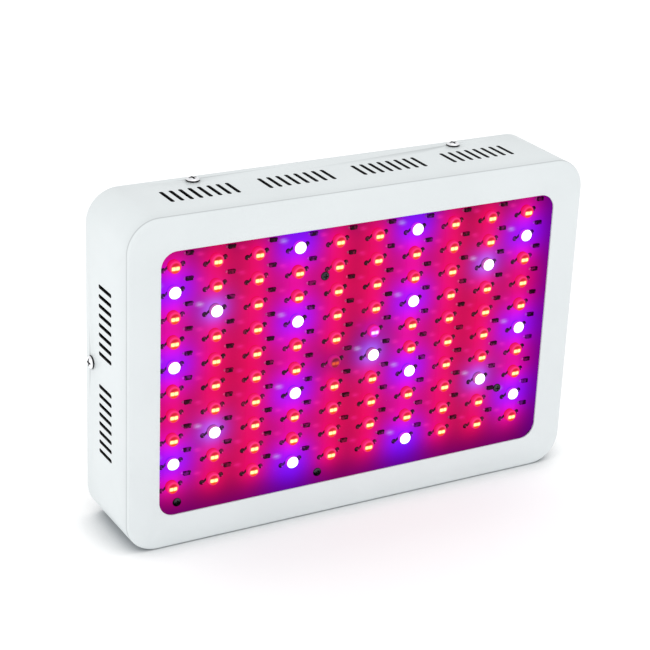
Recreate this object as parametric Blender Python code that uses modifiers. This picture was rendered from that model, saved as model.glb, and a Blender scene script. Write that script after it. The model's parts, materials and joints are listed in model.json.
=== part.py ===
"""LED grow light: a sheet-steel panel with 100 LEDs behind a window, two fans and mains wiring inside.

Metres, +Z up. The light stands on its long side with the LEDs facing -Y. The origin is at the
centre of the base. Depths are given from the front face and turned into Y by at_depth().
"""

import math

import bmesh
import bpy
from mathutils import Matrix, Vector

# ---- Driving dimensions -------------------------------------------------------------------

WIDTH, DEPTH, HEIGHT = 0.310, 0.060, 0.210
HANGER_RISE = 0.0062  # the hanger straps stand this far behind the rear cover
FRONT_Y = -(DEPTH + HANGER_RISE) / 2
MID_Z = HEIGHT / 2
SHEET = 0.001
GAP = 0.00025  # between pieces that touch
CUT = 0.002  # how far a cutter runs past the wall it cuts

CORNER_RADIUS = 0.020
FOLD_RADIUS = 0.002
CORNER_SEGMENTS = 7
WINDOW_WIDTH, WINDOW_HEIGHT, WINDOW_RADIUS = 0.2685, 0.168, 0.010

SLOT_WIDTH, SLOT_LENGTH, SLOT_PITCH, SLOTS_IN_GROUP = 0.0026, 0.0185, 0.00604, 8
SLOT_DEPTH = 0.0318  # from the front face to the middle of a slot
LONG_SIDE_GROUPS = (-0.0953, -0.0318, 0.0318, 0.0953)
SHORT_SIDE_GROUPS = (-0.0317, 0.0317)

COVER_CLEARANCE = 0.0004
COVER_FLANGE = 0.0125
CASE_SCREW_X = 0.0905
CASE_SCREW_DEPTH = DEPTH - 0.008
CASE_SCREW_HOLE, COVER_SCREW_HOLE = 0.0021, 0.0019

# The base screws are countersunk, so that the light can stand on this side.
SINK_HEAD_RADIUS, SINK_CONE_HEIGHT, BASE_SHANK = 0.0036, 0.0020, 0.0016
SINK_GAP = 0.0001  # from the base to the head of its screw
COVER_SINK_RADIUS = 0.0032

LED_COLUMNS, LED_ROWS = 10, 10
LED_PITCH_X, LED_PITCH_Z = 0.0270, 0.0157
LED_RADIUS, LED_TOP_RADIUS = 0.0041, 0.0024
LED_TOP_DEPTH = 0.0075
STRINGS = 2
TRACK_WIDTH, BUS_WIDTH, TRACK_THICKNESS = 0.0092, 0.003, 0.0003

BOARD_WIDTH, BOARD_HEIGHT, BOARD_THICKNESS = 0.292, 0.192, 0.0016
BOARD_DEPTH = 0.012
BOARD_SCREWS = ((-0.0214, 0.1538), (-0.0212, 0.0223), (-0.1175, 0.0225), (0.1103, 0.0554))
SPARE_HOLE = (0.0152, 0.0576)
STUD_X, STUD_Z = 0.1402, 0.0893  # corner studs, from the middle of the panel
STUD_RADIUS, STUD_BORE, STUD_BORE_LENGTH = 0.0028, 0.00165, 0.008
BOARD_HOLE, SPARE_HOLE_RADIUS = 0.0018, 0.0020

SINK_WIDTH, SINK_HEIGHT, SINK_BASE = 0.286, 0.186, 0.0035
FINS, FIN_PITCH, FIN_THICKNESS, FIN_HEIGHT = 33, 0.008, 0.0014, 0.014
SINK_DEPTH = BOARD_DEPTH + BOARD_THICKNESS + GAP
SINK_BLIND_HOLE, SINK_BLIND_DEPTH, SINK_CORNER_HOLE = 0.0017, 0.0028, 0.0019

FAN_SIZE, FAN_THICKNESS, FAN_BORE = 0.092, 0.025, 0.0435
FAN_X = 0.075
FAN_HOLES = 0.04125  # from the fan's axis to a screw, along X and along Z
FAN_HOLE, COVER_FAN_HOLE, FAN_CORNER = 0.00215, 0.0021, 0.004
STRUT_HALF, STRUT_INSET = 0.002, 0.0002
HUB_RADIUS, HUB_START, HUB_END, HUB_WALL = 0.0175, 0.0045, 0.0215, 0.0015
BLADE_RADIUS, BLADES, BLADE_THICKNESS = 0.0418, 7, 0.0014
MOTOR_PLATE, BEARING_LENGTH = 0.003, 0.013
SHAFT_RADIUS, BEARING_BORE, BEARING_RADIUS = 0.0015, 0.00162, 0.0045
GUARD_WIRE, GUARD_RINGS = 0.0008, (0.012, 0.0225, 0.033, 0.0435)
GUARD_ARM_LIFT, GUARD_EYE = -0.0010, 0.0032

DRIVER_WIDTH, DRIVER_THICKNESS, DRIVER_HEIGHT = 0.130, 0.022, 0.036
DRIVER_FROM_MID, DRIVER_CORNER = 0.077, 0.003

INLET_Z, SWITCH_Z = 0.084, 0.127
INLET_FLANGE, INLET_BODY, INLET_CAVITY = (0.031, 0.024), (0.0272, 0.0196), (0.0242, 0.0162)
INLET_LENGTH, INLET_FLOOR, PANEL_FLANGE = 0.018, 0.0025, 0.0018
INLET_CORNER, INLET_CHAMFER = 0.002, 0.004
PIN_TAIL, PIN_SET_BACK = 0.004, 0.002  # behind the inlet's floor, and below its rim
PIN_SIZE = (0.002, 0.004)
PIN_PLACES = ((-0.007, -0.002), (0.0, 0.002), (0.007, -0.002))
SWITCH_FLANGE, SWITCH_BODY, SWITCH_WELL = (0.0150, 0.0210), (0.0134, 0.0194), (0.0108, 0.0179)
SWITCH_LENGTH, SWITCH_CORNER, WELL_DEPTH = 0.016, 0.0015, 0.0095
ROCKER_WIDTH, ROCKER_HALF = 0.0102, 0.0080
ROCKER_TILT = math.radians(10)
ROCKER_PIVOT = 0.0015  # below the face of the switch's flange
TRUNNION_RADIUS, TRUNNION_GAP = 0.001, 0.0001
TRUNNION_LENGTH, BEARING_DEPTH = 0.0008, 0.0010

HANGER_X, HANGER_Z = 0.128, (0.034, 0.186)
RING_WIRE, RING_WIDTH, RING_DROP = 0.0015, 0.024, 0.020
STRAP_WIDTH, STRAP_THICKNESS, STRAP_FOOT = 0.012, 0.0012, 0.008
RING_AXIS_RISE = 0.0032  # the ring's straight bar, behind the cover

WIRE_RADIUS = 0.0009
STRAIGHT_END = 0.0025  # how far a lead runs straight out of its terminal


def at_depth(depth):
    """The Y of a plane this far behind the front face."""
    return FRONT_Y + depth


REAR_Y = at_depth(DEPTH)
COVER_INNER_Y = REAR_Y - SHEET
FAN_Y = COVER_INNER_Y - GAP - FAN_THICKNESS  # the inner face of the fans


# ---- Scene and materials ------------------------------------------------------------------


def clear_scene():
    for obj in list(bpy.data.objects):
        bpy.data.objects.remove(obj, do_unlink=True)


def new_collection(name):
    collection = bpy.data.collections.new(name)
    bpy.context.scene.collection.children.link(collection)
    return collection


def make_material(name, color, roughness, metallic=0.0):
    material = bpy.data.materials.new(name)
    material.use_nodes = True
    shader = material.node_tree.nodes["Principled BSDF"]
    shader.inputs["Base Color"].default_value = (*color, 1.0)
    shader.inputs["Roughness"].default_value = roughness
    shader.inputs["Metallic"].default_value = metallic
    material.diffuse_color = (*color, 1.0)
    return material


clear_scene()
PARTS = new_collection("led_grow_light")
CUTTERS = new_collection("cutters")

WHITE_COAT = make_material("white_powder_coat", (0.86, 0.88, 0.90), 0.45)
BOARD_MASK = make_material("white_board_mask", (0.90, 0.90, 0.90), 0.35)
LENS = make_material("led_lens", (0.80, 0.35, 0.45), 0.15)
BARE_ALUMINIUM = make_material("bare_aluminium", (0.70, 0.71, 0.73), 0.35, 1.0)
BLACK_PLASTIC = make_material("black_plastic", (0.02, 0.02, 0.022), 0.45)
CHROME = make_material("chrome", (0.75, 0.76, 0.78), 0.12, 1.0)
BLACK_SCREW = make_material("black_screw", (0.03, 0.03, 0.032), 0.35, 1.0)
ZINC = make_material("zinc_plate", (0.66, 0.67, 0.69), 0.3, 1.0)
BRASS = make_material("nickel_brass", (0.72, 0.68, 0.58), 0.25, 1.0)
DRIVER_CASE = make_material("driver_case", (0.05, 0.05, 0.055), 0.5)
RED_LEAD = make_material("red_lead", (0.60, 0.02, 0.02), 0.4)
BLACK_LEAD = make_material("black_lead", (0.02, 0.02, 0.02), 0.4)


# ---- Shape helpers ------------------------------------------------------------------------


def to_mesh(bm, name="shape"):
    mesh = bpy.data.meshes.new(name)
    bm.normal_update()
    bm.to_mesh(mesh)
    bm.free()
    return mesh


def add_box(bm, low, high):
    """A box between two corners. Returns its vertices."""
    low, high = Vector(low), Vector(high)
    place = Matrix.Translation((low + high) / 2) @ Matrix.Diagonal((*(high - low), 1))
    return bmesh.ops.create_cube(bm, size=1, matrix=place)["verts"]


def add_rod(bm, start, end, radius, sides, end_radius=None):
    """A round bar, or a cone if it has an end radius, from one point to another."""
    start, end = Vector(start), Vector(end)
    along = end - start
    place = Matrix.Translation((start + end) / 2) @ along.to_track_quat("Z", "Y").to_matrix().to_4x4()
    bmesh.ops.create_cone(
        bm,
        cap_ends=True,
        segments=sides,
        radius1=radius,
        radius2=radius if end_radius is None else end_radius,
        depth=along.length,
        matrix=place,
    )


def edges_along(bm, axis):
    """The edges parallel to axis 0, 1 or 2."""
    found = []
    for edge in bm.edges:
        step = edge.verts[1].co - edge.verts[0].co
        if abs(step[axis]) > 0.999 * step.length:
            found.append(edge)
    return found


def rounded_box(low, high, radius, segments, axis=1):
    """A box whose four edges along one axis are rounded."""
    bm = bmesh.new()
    add_box(bm, low, high)
    edges = edges_along(bm, axis)
    bmesh.ops.bevel(bm, geom=edges, offset=radius, segments=segments, profile=0.5, affect="EDGES")
    return bm


def merge_into(bm, other):
    """Adds the shapes of other to bm."""
    mesh = to_mesh(other)
    bm.from_mesh(mesh)
    bpy.data.meshes.remove(mesh)


def add_object(name, mesh, collection, location=(0, 0, 0), rotation=(0, 0, 0)):
    obj = bpy.data.objects.new(name, mesh)
    collection.objects.link(obj)
    obj.location = location
    obj.rotation_euler = rotation
    return obj


def add_part(name, mesh, material, location=(0, 0, 0), rotation=(0, 0, 0), smooth=True):
    if not mesh.materials:
        mesh.materials.append(material)
    if smooth:
        mesh.shade_smooth()
        mesh.set_sharp_from_angle(angle=math.radians(35))
    return add_object(name, mesh, PARTS, location, rotation)


def boolean(obj, operation, bm, name, solver="EXACT"):
    """Cuts or joins the shapes of bm, which stay as a hidden helper."""
    helper = add_object(name, to_mesh(bm, name), CUTTERS)
    helper.hide_render = True
    helper.display_type = "WIRE"
    modifier = obj.modifiers.new(name, "BOOLEAN")
    modifier.operation = operation
    modifier.solver = solver
    modifier.object = helper


def solidify(obj, thickness, offset=-1.0):
    modifier = obj.modifiers.new("thickness", "SOLIDIFY")
    modifier.thickness = thickness
    modifier.offset = offset
    modifier.use_even_offset = True


def baked(obj):
    """The mesh of an object with its modifiers applied. The object and its helpers are removed."""
    graph = bpy.context.evaluated_depsgraph_get()
    mesh = bpy.data.meshes.new_from_object(obj.evaluated_get(graph))
    bm = bmesh.new()
    bm.from_mesh(mesh)
    bmesh.ops.remove_doubles(bm, verts=bm.verts, dist=1e-6)
    bm.to_mesh(mesh)
    bm.free()
    helpers = [modifier.object for modifier in obj.modifiers if modifier.type == "BOOLEAN"]
    for old in (obj, *helpers):
        bpy.data.objects.remove(old, do_unlink=True)
    mesh.materials.clear()
    return mesh


def turned(profile, steps):
    """A turned shape about Z, from (radius, height) points that run down its outer side."""
    bm = bmesh.new()
    points = [bm.verts.new((radius, 0, height)) for radius, height in profile]
    for upper, lower in zip(points, points[1:]):
        bm.edges.new((upper, lower))
    obj = add_object("profile", to_mesh(bm), CUTTERS)
    screw = obj.modifiers.new("turn", "SCREW")
    screw.steps = screw.render_steps = steps
    screw.use_merge_vertices = True
    screw.merge_threshold = 1e-5
    return baked(obj)


# ---- Sheet-metal case ---------------------------------------------------------------------


def add_tray(name, half_width, half_height, radius, plate_y, open_y):
    """A plate with four folded sides, open at open_y, as one sheet of steel."""
    low = (-half_width, min(plate_y, open_y), MID_Z - half_height)
    high = (half_width, max(plate_y, open_y), MID_Z + half_height)
    bm = rounded_box(low, high, radius, segments=CORNER_SEGMENTS)
    towards_opening = 1 if open_y > plate_y else -1
    opening = [face for face in bm.faces if face.normal.y * towards_opening > 0.9]
    plate = [face for face in bm.faces if face.normal.y * towards_opening < -0.9]
    bmesh.ops.delete(bm, geom=opening, context="FACES_ONLY")
    outline = list(plate[0].edges)
    bmesh.ops.bevel(bm, geom=outline, offset=FOLD_RADIUS, segments=2, profile=0.5, affect="EDGES")
    obj = add_part(name, to_mesh(bm, name), WHITE_COAT)
    solidify(obj, SHEET)
    return obj


def add_slot(bm, centre, across, through):
    """A round-ended slot along Y, through a wall. across and through are axis numbers."""
    sides = 8
    half_angle = math.pi / sides
    radius = SLOT_WIDTH / 2 / math.cos(half_angle)
    slot = bmesh.new()
    add_rod(slot, (0, 0, -SHEET / 2 - CUT), (0, 0, SHEET / 2 + CUT), radius, sides)
    turn = Matrix.Rotation(half_angle + math.pi / 2, 3, "Z")
    bmesh.ops.rotate(slot, matrix=turn, verts=slot.verts)
    straight = SLOT_LENGTH / 2 - SLOT_WIDTH / 2
    for vert in slot.verts:
        vert.co.y += math.copysign(straight, vert.co.y)
    if through == 0:
        bmesh.ops.rotate(slot, matrix=Matrix.Rotation(math.pi / 2, 3, "Y"), verts=slot.verts)
    bmesh.ops.translate(slot, vec=centre, verts=slot.verts)
    merge_into(bm, slot)


def slot_offsets(groups):
    for group in groups:
        for number in range(SLOTS_IN_GROUP):
            yield group + (number - (SLOTS_IN_GROUP - 1) / 2) * SLOT_PITCH


def case_screw_places():
    """(point on the outer wall, outward direction) of the case screws above the base."""
    y = at_depth(CASE_SCREW_DEPTH)
    return (
        (Vector((-CASE_SCREW_X, y, HEIGHT)), Vector((0, 0, 1))),
        (Vector((CASE_SCREW_X, y, HEIGHT)), Vector((0, 0, 1))),
        (Vector((-WIDTH / 2, y, MID_Z)), Vector((-1, 0, 0))),
        (Vector((WIDTH / 2, y, MID_Z)), Vector((1, 0, 0))),
    )


def base_screw_places():
    return tuple(Vector((side * CASE_SCREW_X, at_depth(CASE_SCREW_DEPTH), 0)) for side in (-1, 1))


def add_front_housing():
    housing = add_tray("front_housing", WIDTH / 2, HEIGHT / 2, CORNER_RADIUS, FRONT_Y, REAR_Y)
    half_width, half_height = WINDOW_WIDTH / 2, WINDOW_HEIGHT / 2
    openings = rounded_box(
        (-half_width, FRONT_Y - CUT, MID_Z - half_height),
        (half_width, FRONT_Y + SHEET + CUT, MID_Z + half_height),
        WINDOW_RADIUS,
        segments=6,
    )
    y = at_depth(SLOT_DEPTH)
    for x in slot_offsets(LONG_SIDE_GROUPS):
        for wall in (SHEET / 2, HEIGHT - SHEET / 2):
            add_slot(openings, (x, y, wall), across=0, through=2)
    for z in slot_offsets(SHORT_SIDE_GROUPS):
        for wall in (-WIDTH / 2 + SHEET / 2, WIDTH / 2 - SHEET / 2):
            add_slot(openings, (wall, y, MID_Z + z), across=2, through=0)
    for place, out in case_screw_places():
        add_rod(openings, place + out * CUT, place - out * (SHEET + CUT / 4), CASE_SCREW_HOLE, 12)
    boolean(housing, "DIFFERENCE", openings, "housing_openings")
    base_holes = bmesh.new()
    rim, cut = SINK_HEAD_RADIUS + GAP, Vector((0, 0, CUT))
    for place in base_screw_places():
        add_rod(base_holes, place - cut, place + cut, rim + CUT, 16, rim - CUT)
    boolean(housing, "DIFFERENCE", base_holes, "housing_countersinks")
    studs, bores = bmesh.new(), bmesh.new()
    stud_end = at_depth(BOARD_DEPTH) - GAP
    for x in (-STUD_X, STUD_X):
        for z in (MID_Z - STUD_Z, MID_Z + STUD_Z):
            add_rod(studs, (x, FRONT_Y + SHEET / 2, z), (x, stud_end, z), STUD_RADIUS, 6)
            add_rod(bores, (x, stud_end - STUD_BORE_LENGTH, z), (x, stud_end + CUT, z), STUD_BORE, 8)
    boolean(housing, "UNION", studs, "corner_studs")
    boolean(housing, "DIFFERENCE", bores, "stud_bores")


def fan_screw_places(centre_x):
    for x in (-FAN_HOLES, FAN_HOLES):
        for z in (-FAN_HOLES, FAN_HOLES):
            yield centre_x + x, MID_Z + z


def add_rear_cover():
    clearance = SHEET + COVER_CLEARANCE
    cover = add_tray(
        "rear_cover",
        WIDTH / 2 - clearance,
        HEIGHT / 2 - clearance,
        CORNER_RADIUS - clearance,
        REAR_Y,
        REAR_Y - COVER_FLANGE,
    )
    openings = bmesh.new()
    inside, outside = COVER_INNER_Y - CUT, REAR_Y + CUT
    for x in (-FAN_X, FAN_X):
        add_rod(openings, (x, inside, MID_Z), (x, outside, MID_Z), FAN_BORE, 32)
        for hole_x, hole_z in fan_screw_places(x):
            add_rod(openings, (hole_x, inside, hole_z), (hole_x, outside, hole_z), COVER_FAN_HOLE, 8)
    for (width, height), z in ((INLET_BODY, INLET_Z), (SWITCH_BODY, SWITCH_Z)):
        half = Vector((width / 2 + GAP, 0, height / 2 + GAP))
        middle = Vector((0, 0, z))
        add_box(openings, middle - half + Vector((0, inside, 0)), middle + half + Vector((0, outside, 0)))
    for place, out in case_screw_places():
        hole = place - out * (SHEET + COVER_CLEARANCE / 2)
        add_rod(openings, hole, hole - out * (SHEET + CUT), COVER_SCREW_HOLE, 12)
    boolean(cover, "DIFFERENCE", openings, "cover_openings")
    base_holes = bmesh.new()
    for place in base_screw_places():
        start, end = place + Vector((0, 0, CUT / 2)), place + Vector((0, 0, 2 * CUT))
        add_rod(base_holes, start, end, COVER_SINK_RADIUS, 16, COVER_SCREW_HOLE)
    boolean(cover, "DIFFERENCE", base_holes, "cover_countersinks")


# ---- LED board and heat sink --------------------------------------------------------------


def led_place(column, row):
    """(x, z) of an LED. Column 0 is at -X and row 0 at the top."""
    x = (column - (LED_COLUMNS - 1) / 2) * LED_PITCH_X
    z = MID_Z + ((LED_ROWS - 1) / 2 - row) * LED_PITCH_Z
    return x, z


def corner_places():
    for x in (-STUD_X, STUD_X):
        for z in (MID_Z - STUD_Z, MID_Z + STUD_Z):
            yield x, z


def add_led_board():
    bm = bmesh.new()
    low = (-BOARD_WIDTH / 2, at_depth(BOARD_DEPTH), MID_Z - BOARD_HEIGHT / 2)
    high = (BOARD_WIDTH / 2, at_depth(BOARD_DEPTH + BOARD_THICKNESS), MID_Z + BOARD_HEIGHT / 2)
    add_box(bm, low, high)
    board = add_part("led_board", to_mesh(bm, "led_board"), BOARD_MASK, smooth=False)
    holes = bmesh.new()
    for x, z in (*BOARD_SCREWS, SPARE_HOLE, *corner_places()):
        add_rod(holes, (x, low[1] - CUT, z), (x, high[1] + CUT, z), BOARD_HOLE, 8)
    boolean(board, "DIFFERENCE", holes, "board_holes")


def add_led_string(number):
    """Half of the LEDs, on the copper that joins them: a track for each column and a bus along the base."""
    columns = range(number * LED_COLUMNS // STRINGS, (number + 1) * LED_COLUMNS // STRINGS)
    back = at_depth(BOARD_DEPTH) - GAP
    front = back - TRACK_THICKNESS
    half = TRACK_WIDTH / 2
    first_x, top_z = led_place(columns[0], 0)
    last_x, base_z = led_place(columns[-1], LED_ROWS - 1)
    bus = bmesh.new()
    bus_z = base_z - half
    add_box(bus, (first_x, front, bus_z - BUS_WIDTH / 2), (last_x, back, bus_z + BUS_WIDTH / 2))
    name = f"led_string_{number + 1}"
    string = add_part(name, to_mesh(bus, name), LENS, smooth=False)
    tracks, emitters = bmesh.new(), bmesh.new()
    for column in columns:
        x, _ = led_place(column, 0)
        add_box(tracks, (x - half, front, base_z - half), (x + half, back, top_z + half))
        for row in range(LED_ROWS):
            x, z = led_place(column, row)
            start = (x, (front + back) / 2, z)
            add_rod(emitters, start, (x, at_depth(LED_TOP_DEPTH), z), LED_RADIUS, 6, LED_TOP_RADIUS)
    boolean(string, "UNION", tracks, f"tracks_{number + 1}")
    boolean(string, "UNION", emitters, f"emitters_{number + 1}")
    if first_x < SPARE_HOLE[0] < last_x:
        hole = bmesh.new()
        x, z = SPARE_HOLE
        add_rod(hole, (x, front - CUT, z), (x, back + CUT, z), SPARE_HOLE_RADIUS, 8)
        boolean(string, "DIFFERENCE", hole, "spare_hole")


def add_heat_sink():
    """An extruded comb: a base plate with fins that run up the panel."""
    base_front = at_depth(SINK_DEPTH)
    base_back = base_front + SINK_BASE
    half = SINK_WIDTH / 2
    outline = [(-half, base_front), (-half, base_back)]
    for fin in range(FINS):
        x = (fin - (FINS - 1) / 2) * FIN_PITCH
        left, right, tip = x - FIN_THICKNESS / 2, x + FIN_THICKNESS / 2, base_back + FIN_HEIGHT
        outline += [(left, base_back), (left, tip), (right, tip), (right, base_back)]
    outline += [(half, base_back), (half, base_front)]
    curve = bpy.data.curves.new("heat_sink", "CURVE")
    curve.dimensions = "2D"
    curve.fill_mode = "BOTH"
    curve.extrude = SINK_HEIGHT / 2
    spline = curve.splines.new("POLY")
    spline.points.add(len(outline) - 1)
    for point, (x, y) in zip(spline.points, outline):
        point.co = (x, y, 0, 1)
    spline.use_cyclic_u = True
    guide = add_object("heat_sink_outline", curve, CUTTERS)
    sink = add_part("heat_sink", baked(guide), BARE_ALUMINIUM, location=(0, 0, MID_Z), smooth=False)
    holes = bmesh.new()
    for x, z in BOARD_SCREWS:
        add_rod(holes, (x, base_front - CUT, z), (x, base_front + SINK_BLIND_DEPTH, z), SINK_BLIND_HOLE, 8)
    for x, z in corner_places():
        add_rod(holes, (x, base_front - CUT, z), (x, base_back + CUT, z), SINK_CORNER_HOLE, 8)
    boolean(sink, "DIFFERENCE", holes, "sink_holes")


# ---- Fans ---------------------------------------------------------------------------------


def fan_frame_mesh():
    """A fan's frame about the fan's axis, Y, which runs from its inner face to the rear cover."""
    half = FAN_SIZE / 2
    bm = rounded_box((-half, 0, -half), (half, FAN_THICKNESS, half), FAN_CORNER, segments=3)
    frame = add_object("fan_frame", to_mesh(bm), CUTTERS)
    bore = bmesh.new()
    add_rod(bore, (0, -CUT, 0), (0, FAN_THICKNESS + CUT, 0), FAN_BORE, 32)
    for x, z in fan_screw_places(0):
        add_rod(bore, (x, -CUT, z - MID_Z), (x, FAN_THICKNESS + CUT, z - MID_Z), FAN_HOLE, 8)
    boolean(frame, "DIFFERENCE", bore, "fan_bore")
    reach = FAN_BORE + SHEET
    for name, half_x, half_z in (("across", reach, STRUT_HALF), ("up", STRUT_HALF, reach)):
        strut = bmesh.new()
        add_box(strut, (-half_x, STRUT_INSET, -half_z), (half_x, MOTOR_PLATE - STRUT_INSET, half_z))
        boolean(frame, "UNION", strut, f"fan_struts_{name}")
    motor = bmesh.new()
    add_rod(motor, (0, 0, 0), (0, MOTOR_PLATE, 0), HUB_RADIUS, 24)
    boolean(frame, "UNION", motor, "motor_plate")
    bearing = bmesh.new()
    add_rod(bearing, (0, 0.001, 0), (0, BEARING_LENGTH, 0), BEARING_RADIUS, 16)
    boolean(frame, "UNION", bearing, "bearing_tube")
    bore = bmesh.new()
    add_rod(bore, (0, MOTOR_PLATE, 0), (0, BEARING_LENGTH + CUT, 0), BEARING_BORE, 16)
    boolean(frame, "DIFFERENCE", bore, "bearing_bore")
    return baked(frame)


def fan_blade(number):
    """A twisted blade: a grid bent round the hub, steeper at its root than at its tip."""
    bm = bmesh.new()
    bmesh.ops.create_grid(bm, x_segments=3, y_segments=3, size=0.5)
    root = HUB_RADIUS - 0.001
    for vert in bm.verts:
        outwards, forwards = vert.co.x + 0.5, vert.co.y
        radius = root + (BLADE_RADIUS - root) * outwards
        pitch = math.radians(48 - 22 * outwards)
        chord = 0.017 + 0.007 * outwards
        sweep = 0.30 * outwards + forwards * chord * math.cos(pitch) / radius
        angle = 2 * math.pi * number / BLADES + sweep
        height = (HUB_START + HUB_END) / 2 + forwards * chord * math.sin(pitch)
        vert.co = (radius * math.cos(angle), height, radius * math.sin(angle))
    return bm


def fan_rotor_mesh():
    """Hub cup with its shaft, which runs in the frame's bearing, and seven blades."""
    profile = [
        (0, HUB_END),
        (HUB_RADIUS - 0.001, HUB_END),
        (HUB_RADIUS, HUB_END - 0.001),
        (HUB_RADIUS, HUB_START),
        (HUB_RADIUS - HUB_WALL, HUB_START),
        (HUB_RADIUS - HUB_WALL, HUB_END - HUB_WALL),
        (SHAFT_RADIUS, HUB_END - HUB_WALL),
        (SHAFT_RADIUS, MOTOR_PLATE + 0.001),
        (0, MOTOR_PLATE + 0.001),
    ]
    hub = turned(profile, steps=16)
    hub.transform(Matrix.Rotation(-math.pi / 2, 4, "X"))
    rotor = add_object("rotor_hub", hub, CUTTERS)
    for number in range(BLADES):
        blade = add_object("blade_guide", to_mesh(fan_blade(number)), CUTTERS)
        solidify(blade, BLADE_THICKNESS, offset=0.0)
        solid = bmesh.new()
        mesh = baked(blade)
        solid.from_mesh(mesh)
        bpy.data.meshes.remove(mesh)
        bmesh.ops.recalc_face_normals(solid, faces=solid.faces)
        boolean(rotor, "UNION", solid, f"blade_{number + 1}")
    return baked(rotor)


def ring_mesh(radius, wire, steps, sides):
    """A wire ring about Y."""
    bpy.ops.mesh.primitive_torus_add(
        major_segments=steps, minor_segments=sides, major_radius=radius, minor_radius=wire
    )
    obj = bpy.context.object
    mesh = obj.data.copy()
    bpy.data.objects.remove(obj, do_unlink=True)
    mesh.transform(Matrix.Rotation(-math.pi / 2, 4, "X"))
    return mesh


def fan_guard_mesh():
    """Wire rings on two crossed arms, which end in an eye at each screw."""
    arm_end = FAN_HOLES * math.sqrt(2) - 0.0027
    lift = Vector((0, GUARD_ARM_LIFT, 0))
    shapes = [ring_mesh(radius, GUARD_WIRE, 16, 4) for radius in GUARD_RINGS]
    for number, turn in enumerate((0.25, 0.75)):
        way = Vector((math.cos(math.pi * turn), 0, math.sin(math.pi * turn)))
        arm = bmesh.new()
        add_rod(arm, lift - way * arm_end, lift + way * arm_end, GUARD_WIRE, 5 + number)
        shapes.insert(number, to_mesh(arm))
    for x, z in fan_screw_places(0):
        eye = ring_mesh(GUARD_EYE, GUARD_WIRE, 8, 4)
        eye.transform(Matrix.Translation((x, GUARD_ARM_LIFT, z - MID_Z)))
        shapes.append(eye)
    guard = add_object("guard", shapes[0], CUTTERS)
    for number, mesh in enumerate(shapes[1:]):
        shape = bmesh.new()
        shape.from_mesh(mesh)
        bpy.data.meshes.remove(mesh)
        boolean(guard, "UNION", shape, f"guard_wire_{number}", solver="MANIFOLD")
    return baked(guard)


def add_fans():
    frame, rotor, guard = fan_frame_mesh(), fan_rotor_mesh(), fan_guard_mesh()
    guard_y = REAR_Y + GAP - GUARD_ARM_LIFT + GUARD_WIRE
    for number, x in enumerate((-FAN_X, FAN_X), 1):
        add_part(f"fan_frame_{number}", frame, BLACK_PLASTIC, (x, FAN_Y, MID_Z))
        add_part(f"fan_rotor_{number}", rotor, BLACK_PLASTIC, (x, FAN_Y, MID_Z))
        add_part(f"fan_guard_{number}", guard, CHROME, (x, guard_y, MID_Z))


# ---- Screws -------------------------------------------------------------------------------


def pan_screw_mesh(head_radius, head_height, shank_radius, length):
    """A pan-head screw with a cross recess, about Z. The underside of its head is at Z 0."""
    profile = [
        (0, head_height),
        (head_radius * 0.55, head_height * 0.96),
        (head_radius * 0.90, head_height * 0.60),
        (head_radius, 0),
        (shank_radius, 0),
        (shank_radius, -length),
        (0, -length),
    ]
    screw = add_object("screw", turned(profile, steps=12), CUTTERS)
    half, thin = head_radius * 0.45, head_radius * 0.10
    for name, x, y in (("recess_across", half, thin), ("recess_up", thin, half)):
        slot = bmesh.new()
        add_box(slot, (-x, -y, head_height * 0.35), (x, y, head_height + CUT))
        boolean(screw, "DIFFERENCE", slot, name)
    return baked(screw)


def cheese_screw_mesh(head_radius, head_height, shank_radius, length):
    """A screw with a cylindrical head, about Z. The underside of its head is at Z 0."""
    profile = [
        (0, head_height),
        (head_radius * 0.85, head_height),
        (head_radius, head_height * 0.75),
        (head_radius, 0),
        (shank_radius, 0),
        (shank_radius, -length),
        (0, -length),
    ]
    return turned(profile, steps=8)


def countersunk_screw_mesh(length):
    profile = [
        (0, 0),
        (SINK_HEAD_RADIUS, 0),
        (BASE_SHANK, -SINK_CONE_HEIGHT),
        (BASE_SHANK, -length),
        (0, -length),
    ]
    return turned(profile, steps=12)


def add_screw(name, mesh, material, place, out):
    """A screw whose head faces along out, with its seat at place."""
    screw = add_part(name, mesh, material, place)
    screw.rotation_euler = Vector(out).to_track_quat("Z", "Y").to_euler()


def add_screws():
    case_mesh = pan_screw_mesh(0.0042, 0.0019, 0.0016, 0.008)
    for number, (place, out) in enumerate(case_screw_places(), 1):
        add_screw(f"case_screw_{number}", case_mesh, CHROME, place + out * GAP, out)
    base_mesh = countersunk_screw_mesh(0.008)
    for number, place in enumerate(base_screw_places(), 5):
        add_screw(f"case_screw_{number}", base_mesh, CHROME, place + Vector((0, 0, SINK_GAP)), (0, 0, -1))

    fan_mesh = cheese_screw_mesh(0.0036, 0.0019, 0.0017, 0.012)
    seat = REAR_Y + 2 * GAP + 2 * GUARD_WIRE
    number = 0
    for fan_x in (-FAN_X, FAN_X):
        for x, z in fan_screw_places(fan_x):
            number += 1
            add_screw(f"fan_screw_{number}", fan_mesh, CHROME, (x, seat, z), (0, 1, 0))

    board_mesh = cheese_screw_mesh(0.0028, 0.0016, 0.0014, 0.004)
    for number, (x, z) in enumerate(BOARD_SCREWS, 1):
        place = (x, at_depth(BOARD_DEPTH) - GAP, z)
        add_screw(f"board_screw_{number}", board_mesh, BLACK_SCREW, place, (0, -1, 0))

    sink_mesh = cheese_screw_mesh(0.0029, 0.0018, 0.0015, 0.012)
    seat = at_depth(SINK_DEPTH + SINK_BASE) + GAP
    for number, (x, z) in enumerate(corner_places(), 1):
        add_screw(f"heat_sink_screw_{number}", sink_mesh, ZINC, (x, seat, z), (0, 1, 0))


# ---- Mains parts --------------------------------------------------------------------------


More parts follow.
